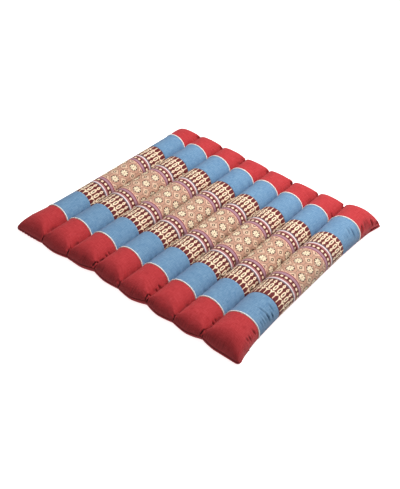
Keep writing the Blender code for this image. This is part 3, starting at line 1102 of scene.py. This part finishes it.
# %% Sockets that do sums
class Field:
    """A shader socket that can be used in sums."""

    def __init__(self, tree, socket):
        self.tree = tree
        self.socket = socket

    def step(self, operation, *others):
        node = self.tree.nodes.new("ShaderNodeMath")
        node.operation = operation
        for value, place_in in zip((self, *others), node.inputs):
            if isinstance(value, Field):
                self.tree.links.new(value.socket, place_in)
            else:
                place_in.default_value = value
        return Field(self.tree, node.outputs[0])

    def __add__(self, other):
        return self.step("ADD", other)

    def __sub__(self, other):
        return self.step("SUBTRACT", other)

    def __mul__(self, other):
        return self.step("MULTIPLY", other)

    def __truediv__(self, other):
        return self.step("DIVIDE", other)

    def size(self):
        return self.step("ABSOLUTE")

    def above(self, other):
        return self.step("GREATER_THAN", other)

    def below(self, other):
        return self.step("LESS_THAN", other)

    def mirrored(self, pitch):
        """Distance from the nearest whole multiple of the pitch."""
        return ((self / pitch + 0.5).step("FRACT") - 0.5).size() * pitch

    def between(self, low, high):
        return self.above(low) * self.below(high)

    def two_to_the(self):
        """2 to the power of this field."""
        node = self.tree.nodes.new("ShaderNodeMath")
        node.operation = "POWER"
        node.inputs[0].default_value = 2.0
        self.tree.links.new(self.socket, node.inputs[1])
        return Field(self.tree, node.outputs[0])


def srgb(red, green, blue):
    """A colour as a shader wants it, from values of 0 to 255 on the sRGB curve."""
    linear = [((c / 255 + 0.055) / 1.055) ** 2.4 if c > 10 else c / 255 / 12.92 for c in (red, green, blue)]
    return (*linear, 1.0)


def grey(value):
    return (value, value, value, 1.0)


SPECULAR = 0.25
SHEEN_ROUGHNESS = 0.5


def new_material(name, roughness, sheen=0.0, sheen_tint=grey(1.0)):
    """A cloth material with its tree and its shader."""
    material = bpy.data.materials.new(name)
    material.use_nodes = True
    tree = material.node_tree
    shader = tree.nodes["Principled BSDF"]
    shader.inputs["Roughness"].default_value = roughness
    shader.inputs["Specular IOR Level"].default_value = SPECULAR
    shader.inputs["Sheen Weight"].default_value = sheen
    shader.inputs["Sheen Roughness"].default_value = SHEEN_ROUGHNESS
    shader.inputs["Sheen Tint"].default_value = sheen_tint
    return material, tree, shader


def uv_fields(tree):
    """u and v of the cloth, as fields."""
    node = tree.nodes.new("ShaderNodeUVMap")
    node.uv_map = "cloth"
    parts = tree.nodes.new("ShaderNodeSeparateXYZ")
    tree.links.new(node.outputs[0], parts.inputs[0])
    return Field(tree, parts.outputs[0]), Field(tree, parts.outputs[1])


def object_fields(tree):
    """A place on the object in its own metres, as a socket and as three fields."""
    coordinates = tree.nodes.new("ShaderNodeTexCoord")
    parts = tree.nodes.new("ShaderNodeSeparateXYZ")
    tree.links.new(coordinates.outputs["Object"], parts.inputs[0])
    return coordinates.outputs["Object"], [Field(tree, part) for part in parts.outputs]


def joined(tree, x, y):
    """Two fields as one vector."""
    node = tree.nodes.new("ShaderNodeCombineXYZ")
    tree.links.new(x.socket, node.inputs[0])
    tree.links.new(y.socket, node.inputs[1])
    return node.outputs[0]


def noise(tree, vector, scale=1.0, detail=2.0):
    """Noise from 0 to 1 as a field."""
    node = tree.nodes.new("ShaderNodeTexNoise")
    node.inputs["Scale"].default_value = scale
    node.inputs["Detail"].default_value = detail
    tree.links.new(vector, node.inputs["Vector"])
    return Field(tree, node.outputs[0])


def mixed(tree, share, low, high):
    """A colour between two, each a socket or a plain colour."""
    node = tree.nodes.new("ShaderNodeMix")
    node.data_type = "RGBA"
    tree.links.new(share.socket, node.inputs[0])
    for value, place_in in ((low, node.inputs[6]), (high, node.inputs[7])):
        if isinstance(value, tuple):
            place_in.default_value = value
        else:
            tree.links.new(value, place_in)
    return node.outputs[2]


def painted_fold_shade(tree, colour, dark):
    """The colour with shade painted in: towards a dark one where the cloth is tightly folded."""
    node = tree.nodes.new("ShaderNodeAttribute")
    node.attribute_name = "fold_shade"
    return mixed(tree, Field(tree, node.outputs["Fac"]), colour, dark)


def raised(tree, shader, height, distance):
    """Bump from a height field, in metres."""
    node = tree.nodes.new("ShaderNodeBump")
    node.inputs["Distance"].default_value = distance
    tree.links.new(height.socket, node.inputs["Height"])
    tree.links.new(node.outputs[0], shader.inputs["Normal"])


print("a colour as light:", [round(c, 3) for c in srgb(200, 70, 75)])

# %% [markdown]
# ## Crimson and blue cotton
#
# The outer panels are plain cottons, crimson and blue. Both are spun from uneven yarn, so
# streaks of lighter and darker thread run through them both ways, and the crimson one is
# faintly shiny. A photographed cloth would bring its own light and folds along, so each is a
# formula: one wave along u and one along v for the weave, and noises stretched along the yarns.
# Close to the hem the height also carries fine gathers, too small for the grid.

# %% Plain cottons
THREADS_PER_PITCH = 150


def plain_weave(tree, u, v, threads):
    """Height of a plain weave: warp and weft take turns on top."""
    warp = (u * threads * math.pi).step("SINE").size()
    weft = (v * threads * math.pi).step("SINE").size()
    return warp * weft


YARNS_PER_PITCH = 54
SLUBS_PER_PITCH = 5.0
PATCHES_PER_PITCH = 1.6
PATCH_SHARE = 0.2
GATHERS_START = 4.0
GATHERS_FADE = 0.3
GATHERS_PER_PITCH = (24, 1.2)
COTTON_SHEEN = srgb(236, 150, 150)
COTTON_BUMP = 0.0016
WEAVE_SHARE = 0.08
YARN_SHARE = 0.05


def cotton(name, shade, light, dark, fold_shade_colour, slub, sheen):
    """A plain cotton: its colour, the colours of its lighter and darker yarns, the colour of the
    shade painted into its folds, and how slubby it is. Fine gathers run up from the hem."""
    material, tree, shader = new_material(name, roughness=0.82, sheen=sheen, sheen_tint=COTTON_SHEEN)
    u, v = uv_fields(tree)
    along = noise(tree, joined(tree, u * YARNS_PER_PITCH, v * SLUBS_PER_PITCH), detail=3.0)
    across = noise(tree, joined(tree, u * SLUBS_PER_PITCH, v * YARNS_PER_PITCH), detail=3.0)
    patches = noise(tree, joined(tree, u, v), PATCHES_PER_PITCH)
    yarn = ((along + across + patches * PATCH_SHARE) / (2 + PATCH_SHARE) - 0.5) * slub + 0.5
    spread_out = yarn.step("MINIMUM", 1.0).step("MAXIMUM", 0.0)
    darker = mixed(tree, (spread_out * 2).step("MINIMUM", 1.0), dark, shade)
    colour = mixed(tree, (spread_out * 2 - 1).step("MAXIMUM", 0.0), darker, light)
    # Shade painted into the tight folds.
    colour = painted_fold_shade(tree, colour, fold_shade_colour)
    tree.links.new(colour, shader.inputs["Base Color"])
    by_the_hem = ((v.size() - GATHERS_START) / GATHERS_FADE).step("MAXIMUM", 0.0).step("MINIMUM", 1.0)
    across_hem, up_from_hem = GATHERS_PER_PITCH
    gathers = noise(tree, joined(tree, u * across_hem, v * up_from_hem)) * by_the_hem
    weave = plain_weave(tree, u, v, THREADS_PER_PITCH) * WEAVE_SHARE + along * YARN_SHARE
    raised(tree, shader, weave + gathers, COTTON_BUMP)
    return material


crimson = cotton(
    "crimson_cotton",
    shade=srgb(180, 49, 53),
    light=srgb(196, 68, 72),
    dark=srgb(158, 32, 38),
    # The colour of the shade painted into tight folds.
    fold_shade_colour=srgb(46, 3, 7),
    slub=2.6,
    sheen=0.18,
)
blue = cotton(
    "blue_slub_cotton",
    shade=srgb(103, 141, 174),
    light=srgb(134, 167, 192),
    dark=srgb(74, 115, 152),
    # The colour of the shade painted into tight folds.
    fold_shade_colour=srgb(38, 70, 102),
    slub=2.6,
    sheen=0.10,
)
print("cottons:", crimson.name, blue.name)

# %% [markdown]
# ## The brocade, from a weaver's chart
#
# The middle of the cushion is a brocade, with floral medallions in a pale field between two
# patterned borders. A weaver reads such a cloth from a squared chart, and a shader can as well.
# Each motif is symmetric, so a chart shows only a quarter of it, and a letter stands for each
# yarn. A row of the chart becomes one number with a bit for each square, the numbers become
# the stops of a Color Ramp with constant steps, and two Math nodes pick one bit out again.

# %% Reading a chart
def charted(tree, chart, letter, column, row):
    """1 where the chart has the letter, at a whole column and row number, and 0 elsewhere."""
    node = tree.nodes.new("ShaderNodeValToRGB")
    node.color_ramp.interpolation = "CONSTANT"
    squares = 2.0 ** len(chart[0])
    for number, text in enumerate(chart):
        place = number / len(chart)
        element = node.color_ramp.elements[number] if number < 2 else node.color_ramp.elements.new(place)
        element.position = place
        bits = sum(2.0**bit for bit, square in enumerate(text) if square == letter)
        element.color = grey(bits / squares)
    tree.links.new(((row + 0.5) / len(chart)).socket, node.inputs[0])
    number_of_row = Field(tree, node.outputs[0]) * squares + 0.5
    return ((number_of_row / column.two_to_the()).step("FLOOR") / 2).step("FRACT").above(0.25)


# %% The charts
# c is cream, e its orange edge, d a dark square and m a brighter maroon. A chart starts at the
# middle of its motif, and is mirrored from there.
DOTS = (
    "ccccccce.ddm",
    "ccccccce.ddm",
    "cccccce..ddm",
    "eeeee....dmm",
    "........mmmm",
    ".......mmmdd",
    ".......mmddd",
)
DIAMOND = (
    "ddccccce....",
    "dccccce.....",
    "cccccce.....",
    "ccccce......",
    "cccce.......",
    "ccce........",
    "cce.........",
    "ce..........",
    "ce..........",
)
RING = (
    "dddccccce..m",
    "dddccccce..m",
    "dddccccce..m",
    "ddcccccce..m",
    "ddcccccce..m",
    "dccccccce...",
    "dcccccce....",
    "ccccccce....",
    "cccccce.....",
    "ccccce......",
    "cccce.......",
    "cce.........",
)
ARROW = (
    "...eccccccce",
    "..ccccccccce",
    ".ccccccccce.",
    "ccccccccce..",
    "cccccccce...",
    "cccccce.....",
    "ccccce......",
    "cccce.......",
    "ccce........",
) + ("cce.....mmmm",) * 13
for name, chart in (("dots", DOTS), ("diamond", DIAMOND), ("ring", RING), ("arrow", ARROW)):
    print(name, len(chart), "rows of", sorted({len(row) for row in chart}), "squares")

# %% The chart of the field
# A quarter of one repeat, worked out square by square: a floret of eight petals in the near
# corner, and a small ring in a sand diamond in the far one. There k is a pale sand, o a dark
# brown outline and p a pinkish brown, checked with the ground. Lengths are in squares.
FIELD_COLUMNS = 20
FIELD_ROWS = 21
PETALS = 8
FLORET_HEART = 2.0
FLORET_RADIUS = 9.4
FLORET_SPIKES = 12.6
OUTLINE = 1.4
SAND_REACH = 0.7 * FLORET_RADIUS
SMALL_RING = (1.8, 4.3)
SMALL_DIAMOND = (13, 15)
TALLER = 0.86

# The cosine across a petal is 1 on its middle line and -1 between two petals.
PETAL_EDGE = -0.55
SPIKE_EDGE = 0.2


def field_square(column, row):
    """The yarn of one square of the field."""
    x, y = column + 0.5, row + 0.5
    radius = math.hypot(x, y * TALLER)
    petal = math.cos(PETALS * math.atan2(y * TALLER, x))
    to_ring = math.hypot(FIELD_COLUMNS - x, (FIELD_ROWS - y) * TALLER)
    to_diamond = FIELD_COLUMNS - x + (FIELD_ROWS - y) * TALLER
    if radius < FLORET_HEART:
        return "k"
    if radius < FLORET_RADIUS + petal:
        return "c" if petal > PETAL_EDGE else "o" if radius > SAND_REACH else "k"
    if radius < FLORET_RADIUS + petal + OUTLINE or radius < FLORET_SPIKES and petal < SPIKE_EDGE:
        return "o"
    if to_ring < SMALL_RING[0]:
        return "c"
    if to_ring < SMALL_RING[1]:
        return "o"
    if column == 0 or column == FIELD_COLUMNS - 1:
        return "o" if row % 3 == 0 else "."
    if to_diamond < SMALL_DIAMOND[0]:
        return "k"
    if to_diamond < SMALL_DIAMOND[1]:
        return "o" if (column + 2 * row) % 4 < 2 else "p"
    return "p" if (column + row) % 2 else "."


FIELD = tuple(
    "".join(field_square(column, row) for column in range(FIELD_COLUMNS)) for row in range(FIELD_ROWS)
)
print("\n".join(FIELD))

# %% Bands of the brocade
FLORET_ROW = 0.478
COLUMN_PITCH = FLORET_PITCH / 3
FIELD_END = 0.715
BEAD_LINE = (0.745, 0.775)
MAUVE = (0.775, 0.872)
WHITE = (1.100, 1.152)
GROUND = srgb(96, 25, 29)
CREAM = srgb(252, 232, 200)

# Each band, from the field outwards: where it ends, in pitches from the middle, and its ground
# colour.
BANDS = (
    ("field", FIELD_END, srgb(206, 164, 140)),
    ("pink line", BEAD_LINE[0], srgb(222, 160, 148)),
    ("beaded line", BEAD_LINE[1], srgb(150, 52, 66)),
    ("mauve stripe", MAUVE[1], srgb(150, 96, 112)),
    ("dots", 1.050, srgb(84, 24, 30)),
    ("pink stripe", WHITE[0], srgb(176, 108, 108)),
    ("white stripe", WHITE[1], srgb(236, 226, 228)),
    ("slate line", 1.205, srgb(104, 92, 102)),
    ("columns", 2.100, GROUND),
)


def band_colours(tree, from_middle):
    """The ground colour of each band."""
    node = tree.nodes.new("ShaderNodeValToRGB")
    node.color_ramp.interpolation = "CONSTANT"
    reach = BANDS[-1][1]
    start = 0.0
    for number, (_, end, colour) in enumerate(BANDS):
        elements = node.color_ramp.elements
        element = elements[number] if number < 2 else elements.new(start / reach)
        element.position = start / reach
        element.color = colour
        start = end
    tree.links.new((from_middle / reach).socket, node.inputs[0])
    return node.outputs[0]


print(len(BANDS), "bands, the last one up to", BANDS[-1][1])

# %% The brocade
# Each motif of the border: its chart, where its first row lies, the height of a row, and
# whether it is mirrored there.
MOTIFS = (
    (DOTS, 0.956, 0.0125, True),
    (DIAMOND, 1.305, 0.0120, True),
    (RING, 1.545, 0.0120, True),
    (ARROW, 1.695, 0.0125, False),
)
FIGURE_WIDTH = 0.95
ON_THE_AXIS = 0.0001
RIB_PITCH = 0.031
BEAD_PITCH = 0.034
WOBBLES_PER_PITCH = 9.0
WOBBLE = 0.010

# A wave of ribs or beads runs from 0 to 1, and a thread shows where it is past its edge.
MAUVE_EDGE = 0.62
WHITE_EDGE = 0.35
BEAD_EDGE = 0.70
MAUVE_TINT = 0.7
WHITE_TINT = 0.6
STREAKS_PER_PITCH = (4, 90)
STREAK_EDGE = 0.38
STREAK_TINT = 0.4
FIGURE_SHARE, WEFT_SHARE, RIB_SHARE = 0.6, 0.5, 0.3
BROCADE_BUMP = 0.0003


def brocade():
    """The woven middle: field, borders and motifs, with raised figures."""
    material, tree, shader = new_material("brocade", roughness=0.72, sheen=0.12, sheen_tint=CREAM)
    u, v = uv_fields(tree)
    wobble = noise(tree, joined(tree, u, v), WOBBLES_PER_PITCH) - 0.5
    u = u + wobble * WOBBLE
    v = v + wobble * WOBBLE
    from_middle = v.size()
    in_field = from_middle.below(FIELD_END)

    colour = band_colours(tree, from_middle)
    square = FLORET_PITCH / 2 / FIELD_COLUMNS
    column = (u.mirrored(FLORET_PITCH) / square).step("FLOOR").step("MINIMUM", FIELD_COLUMNS - 1.0)
    row = (v.mirrored(FLORET_ROW) / (FLORET_ROW / 2 / FIELD_ROWS)).step("FLOOR")
    row = row.step("MINIMUM", FIELD_ROWS - 1.0)
    figures = None
    for letter, yarn in (
        ("c", srgb(252, 238, 204)),
        ("k", srgb(222, 190, 162)),
        ("o", srgb(78, 36, 28)),
        ("p", srgb(190, 140, 118)),
    ):
        share = charted(tree, FIELD, letter, column, row) * in_field
        colour = mixed(tree, share, colour, yarn)
        if letter == "c":
            figures = share

    square = FIGURE_WIDTH * COLUMN_PITCH / 2 / len(RING[0])
    column = (u.mirrored(COLUMN_PITCH) / square).step("FLOOR").step("MINIMUM", len(RING[0]) - 1.0)
    yarns = {"c": CREAM, "e": srgb(200, 112, 84), "d": srgb(80, 24, 24), "m": srgb(104, 24, 34)}
    for chart, middle, height, mirrored in MOTIFS:
        away = (from_middle - middle).size() if mirrored else from_middle - middle
        within = away.between(-ON_THE_AXIS if mirrored else 0.0, height * len(chart))
        row = (away / height).step("FLOOR").step("MAXIMUM", 0.0).step("MINIMUM", len(chart) - 1.0)
        for letter in sorted(set("".join(chart)) - {"."}):
            share = charted(tree, chart, letter, column, row) * within
            colour = mixed(tree, share, colour, yarns[letter])
            if letter == "c":
                figures = figures + share

    ribs = (u * (math.pi / RIB_PITCH)).step("SINE").size()
    mauve_ribs = ribs.above(MAUVE_EDGE) * from_middle.between(*MAUVE)
    white_ribs = ribs.below(WHITE_EDGE) * from_middle.between(*WHITE)
    bead_wave = (u * (math.pi / BEAD_PITCH)).step("SINE").size()
    beads = bead_wave.above(BEAD_EDGE) * from_middle.between(*BEAD_LINE)
    colour = mixed(tree, mauve_ribs * MAUVE_TINT, colour, srgb(196, 160, 174))
    colour = mixed(tree, white_ribs * WHITE_TINT, colour, srgb(196, 160, 166))
    colour = mixed(tree, beads, colour, srgb(64, 14, 26))
    streaks = noise(tree, joined(tree, u * STREAKS_PER_PITCH[0], v * STREAKS_PER_PITCH[1])) - STREAK_EDGE
    colour = mixed(tree, streaks.step("MAXIMUM", 0.0) * STREAK_TINT, colour, srgb(120, 66, 52))
    # Shade painted into the tight folds, towards a dark brown.
    colour = painted_fold_shade(tree, colour, srgb(56, 22, 18))
    tree.links.new(colour, shader.inputs["Base Color"])
    weave = plain_weave(tree, u, v, THREADS_PER_PITCH)
    height = figures * FIGURE_SHARE + weave * WEFT_SHARE + mauve_ribs * RIB_SHARE
    raised(tree, shader, height, BROCADE_BUMP)
    return material


woven = brocade()
print("brocade nodes:", len(woven.node_tree.nodes))

# %% Cloth on the cover
MATERIALS = (crimson, blue, woven)
for material in MATERIALS:
    bag.materials.append(material)


def panel_of(v):
    """Which cloth lies at v: brocade in the middle, then blue, then crimson at the ends."""
    away = abs(v) * PITCH
    return 2 if away < WOVEN_SEAM else 1 if away < PIPING_SEAM else 0


panel_of_row = np.array([panel_of(v) for v in (v_rows[:-1] + v_rows[1:]) / 2])
panels = np.concatenate([np.repeat(panel_of_row, columns - 1), np.zeros(len(under_faces), int)])
bag.polygons.foreach_set("material_index", panels)
print("quads of crimson, blue and brocade:", [int((panels == n).sum()) for n in range(3)])

# %% [markdown]
# ## Piping and stitches
#
# A thin cream piping is caught in the seam between blue and crimson, and a thread runs down
# every line of stitching. Both follow a path on the finished cloth, which is what Geometry
# Nodes are good at: one tree sweeps a round profile along a path, the other sets a short stitch
# along it again and again. Their paths are rows and columns of the cover's own grid, so they
# can't miss it. The stitches underneath follow the formula of the underside.

# %% Node trees that follow a path
def new_tree(name, inputs):
    """An empty geometry tree with a geometry input and some named sizes."""
    tree = bpy.data.node_groups.new(name, "GeometryNodeTree")
    tree.interface.new_socket("Path", in_out="INPUT", socket_type="NodeSocketGeometry")
    for label, value in inputs:
        socket = tree.interface.new_socket(label, in_out="INPUT", socket_type="NodeSocketFloat")
        socket.default_value = value
    socket = tree.interface.new_socket("Finish", in_out="INPUT", socket_type="NodeSocketMaterial")
    tree.interface.new_socket("Result", in_out="OUTPUT", socket_type="NodeSocketGeometry")
    return tree, tree.nodes.new("NodeGroupInput"), tree.nodes.new("NodeGroupOutput")


def add_node(tree, kind, links=(), **values):
    """A node of a kind, with its inputs linked or set by name."""
    node = tree.nodes.new(kind)
    for key, value in values.items():
        setattr(node, key, value)
    for label, source in links:
        place_in = node.inputs[label]
        if hasattr(source, "links"):
            tree.links.new(source, place_in)
        else:
            place_in.default_value = source
    return node


def finished(tree, geometry, source, result):
    """Ends a tree: the geometry made real, with the material that comes in as Finish."""
    real = add_node(tree, "GeometryNodeRealizeInstances", [("Geometry", geometry)])
    finish = add_node(
        tree, "GeometryNodeSetMaterial",
        [("Geometry", real.outputs[0]), ("Material", source.outputs["Finish"])],
    )
    tree.links.new(finish.outputs[0], result.inputs[0])


def path_mesh(name, paths):
    """A mesh of loose edges along each path."""
    points, edges = [], []
    for path in paths:
        start = len(points)
        points += [tuple(p) for p in path]
        edges += [(start + i, start + i + 1) for i in range(len(path) - 1)]
    mesh = bpy.data.meshes.new(name)
    mesh.from_pydata(points, edges, [])
    piece = bpy.data.objects.new(name, mesh)
    bpy.context.scene.collection.objects.link(piece)
    return piece


def baked(piece, tree, material, sizes):
    """The piece after its tree has run, as a plain mesh without the modifier."""
    modifier = piece.modifiers.new("tree", "NODES")
    modifier.node_group = tree
    names = {item.name: item.identifier for item in tree.interface.items_tree if item.in_out == "INPUT"}
    for label, value in sizes.items():
        modifier[names[label]] = value
    modifier[names["Finish"]] = material
    graph = bpy.context.evaluated_depsgraph_get()
    mesh = bpy.data.meshes.new_from_object(piece.evaluated_get(graph))
    path = piece.data
    piece.modifiers.clear()
    piece.data = mesh
    mesh.name = piece.name
    bpy.data.meshes.remove(path)
    mesh.shade_smooth()
    return piece


print("helpers ready")

# %% Piping
PIPING_RADIUS = 0.0019
PIPING_SIDES = 10
PIPING_LIFT = 0.0012

# The cord stops a few points inside the hem at its left and right end.
CORD_SPAN = slice(2, -3)
BIAS_WAVES = 2600
PIPING_SHADES = 60.0
PIPING_TINT = 0.2
PIPING_BUMP = 0.0002


def piping_tree():
    """Sweeps a round profile along the path, with closed ends."""
    tree, source, result = new_tree("piping", (("Radius", PIPING_RADIUS), ("Sides", PIPING_SIDES)))
    curve = add_node(tree, "GeometryNodeMeshToCurve", [("Mesh", source.outputs["Path"])])
    profile = add_node(
        tree, "GeometryNodeCurvePrimitiveCircle",
        [("Radius", source.outputs["Radius"]), ("Resolution", source.outputs["Sides"])],
    )
    swept = add_node(
        tree, "GeometryNodeCurveToMesh",
        [("Curve", curve.outputs[0]), ("Profile Curve", profile.outputs[0]), ("Fill Caps", True)],
    )
    finished(tree, swept.outputs[0], source, result)
    return tree


def piping_cloth():
    """Cream cord covered in a bias strip, whose weave runs round it at a slant."""
    material, tree, shader = new_material("cream_piping_cloth", roughness=0.8, sheen=0.1)
    at, (x, y, z) = object_fields(tree)
    slant = ((x + y + z) * BIAS_WAVES).step("SINE").size()
    shade = noise(tree, at, PIPING_SHADES)
    tint = slant * PIPING_TINT + shade * PIPING_TINT
    colour = mixed(tree, tint, srgb(255, 253, 248), srgb(250, 230, 216))
    tree.links.new(colour, shader.inputs["Base Color"])
    raised(tree, shader, slant, PIPING_BUMP)
    return material


normals = grid_normals(top)
piping_material = piping_cloth()
tree = piping_tree()
for end, name in ((-1, "piping_near"), (1, "piping_far")):
    row = int(np.argmin(abs(v_rows - end * PIPING_SEAM / PITCH)))
    path = top[row] + normals[row] * PIPING_LIFT
    piece = path_mesh(name + "_cord", [path[CORD_SPAN]])
    baked(piece, tree, piping_material, {"Radius": PIPING_RADIUS})
    print(piece.name, len(piece.data.polygons), "faces")

# %% Stitches
STITCH_STEP = 0.0075
STITCH_LENGTH = 0.0052
STITCH_RADIUS = 0.00055
STITCHES_END = 3.95 * PITCH
STITCH_LIFT = 0.0004
TWISTS = (9000, 5200)
THREAD_BUMP = 0.0001


def stitch_tree():
    """Sets a short fat stitch along the path again and again, each turned along it."""
    sizes = (("Step", STITCH_STEP), ("Length", STITCH_LENGTH), ("Radius", STITCH_RADIUS))
    tree, source, result = new_tree("stitches", sizes)
    curve = add_node(tree, "GeometryNodeMeshToCurve", [("Mesh", source.outputs["Path"])])
    even = add_node(
        tree, "GeometryNodeResampleCurve", [("Curve", curve.outputs[0]), ("Length", source.outputs["Step"])],
        mode="LENGTH",
    )
    ball = add_node(tree, "GeometryNodeMeshUVSphere", [("Segments", 8), ("Rings", 5), ("Radius", 0.5)])
    thickness = add_node(
        tree, "ShaderNodeMath", [(0, source.outputs["Radius"]), (1, 2.0)], operation="MULTIPLY"
    )
    size = add_node(
        tree, "ShaderNodeCombineXYZ",
        [("X", thickness.outputs[0]), ("Y", thickness.outputs[0]), ("Z", source.outputs["Length"])],
    )
    tangent = add_node(tree, "GeometryNodeInputTangent")
    turned = add_node(tree, "FunctionNodeAlignEulerToVector", [("Vector", tangent.outputs[0])], axis="Z")
    placed_balls = add_node(
        tree, "GeometryNodeInstanceOnPoints",
        [
            ("Points", even.outputs[0]), ("Instance", ball.outputs["Mesh"]),
            ("Rotation", turned.outputs[0]), ("Scale", size.outputs[0]),
        ],
    )
    finished(tree, placed_balls.outputs[0], source, result)
    return tree


def thread():
    """Waxed red-brown thread, twisted from two plies."""
    material, tree, shader = new_material("sewing_thread", roughness=0.6, sheen=0.1)
    _, (x, y, _) = object_fields(tree)
    twist = (y * TWISTS[1] + x * TWISTS[0]).step("SINE").size()
    tree.links.new(mixed(tree, twist, srgb(92, 30, 30), srgb(150, 70, 62)), shader.inputs["Base Color"])
    raised(tree, shader, twist, THREAD_BUMP)
    return material


def stitched_paths():
    """A path along each line of stitching, on top of the cover and under it."""
    paths = []
    sewn = abs(v_rows * PITCH) < PIN_END
    for number, column in enumerate(fine_lines):
        paths.append(top[sewn, column] + [0, 0, STITCH_LIFT])
        ys = np.arange(-STITCHES_END, STITCHES_END, STITCH_STEP) + MIDDLE_Y
        below = np.column_stack([np.full(len(ys), line_x(number)), ys])
        paths.append(np.column_stack([below, under_height(below) - STITCH_LIFT]))
    return paths


stitches = path_mesh("channel_stitches", stitched_paths())
baked(stitches, stitch_tree(), thread(), {})
print("stitches:", len(stitches.data.polygons), "faces")

# %% [markdown]
# ## Floor and light
#
# The cushion was photographed on a white sweep in soft light from above, so it has bright
# crests, darker ends towards the camera, and hardly a shadow. The floor is a pale sheet with a
# glow of its own. A glowing floor would also fill the creases with light, so the cloth doesn't
# see it: the world gives the light from below instead, strong from straight below and weak
# from the sides, and its light from above is soft too. One wide lamp over the far side adds
# the direction. The camera sees a plain pale backdrop in place of the world.

# %% Floor
FLOOR_HALF = 6.0
FLOOR_GREY = 0.6
FLOOR_GLOW = 0.85

floor_mesh = bpy.data.meshes.new("floor")
corners = [(x * FLOOR_HALF, y * FLOOR_HALF, 0) for x, y in ((-1, -1), (1, -1), (1, 1), (-1, 1))]
floor_mesh.from_pydata(corners, [], [(0, 1, 2, 3)])
floor = bpy.data.objects.new("floor", floor_mesh)
bpy.context.scene.collection.objects.link(floor)
paper, _, paper_shader = new_material("white_paper", roughness=0.9)
paper_shader.inputs["Base Color"].default_value = grey(FLOOR_GREY)
paper_shader.inputs["Emission Color"].default_value = grey(1.0)
paper_shader.inputs["Emission Strength"].default_value = FLOOR_GLOW
floor.visible_diffuse = False
floor_mesh.materials.append(paper)
print("floor", 2 * FLOOR_HALF, "m wide")

# %% Light
# Strength of the world's light by height: 0 is straight below, 0.5 level, 1 straight above.
WORLD_LIGHT = ((0.0, 1.30), (0.32, 0.50), (0.44, 0.14), (0.50, 0.09), (0.62, 0.17), (1.0, 0.52))
BACKDROP = 0.92
LAMP_PLACE = (0.42, 0.78, 1.8)
LAMP_WIDTH = 1.3
LAMP_WATTS = 49

world = bpy.data.worlds.new("studio")
world.use_nodes = True
sky = world.node_tree
towards = sky.nodes.new("ShaderNodeTexCoord")
direction = sky.nodes.new("ShaderNodeSeparateXYZ")
sky.links.new(towards.outputs["Generated"], direction.inputs[0])
shade = sky.nodes.new("ShaderNodeValToRGB")
for number, (height, strength) in enumerate(WORLD_LIGHT):
    elements = shade.color_ramp.elements
    element = elements[number] if number < 2 else elements.new(height)
    element.position = height
    element.color = grey(strength)
sky.links.new((Field(sky, direction.outputs[2]) * 0.5 + 0.5).socket, shade.inputs[0])
rays = sky.nodes.new("ShaderNodeLightPath")
seen = mixed(sky, Field(sky, rays.outputs["Is Camera Ray"]), shade.outputs[0], grey(BACKDROP))
sky.links.new(seen, sky.nodes["Background"].inputs["Color"])
sky.nodes["Background"].inputs["Strength"].default_value = 1.0
bpy.context.scene.world = world


# The lamp points at the origin, which is near the middle of the cushion.
lamp_data = bpy.data.lights.new("overhead", "AREA")
lamp_data.shape = "DISK"
lamp_data.size = LAMP_WIDTH
lamp_data.energy = LAMP_WATTS
lamp = bpy.data.objects.new("overhead", lamp_data)
bpy.context.scene.collection.objects.link(lamp)
lamp.location = LAMP_PLACE
lamp.rotation_euler = Vector(LAMP_PLACE).to_track_quat("Z", "Y").to_euler()
bpy.context.scene.view_settings.view_transform = "Standard"
print("a lamp of", LAMP_WATTS, "W,", LAMP_WIDTH, "m wide")

# %% Putting it together
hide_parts("cushion")
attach(cover, "root")
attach(stitches, "root")
for name in ("piping_near", "piping_far"):
    piece = bpy.data.objects[name + "_cord"]
    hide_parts(name)
    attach(piece, "root")
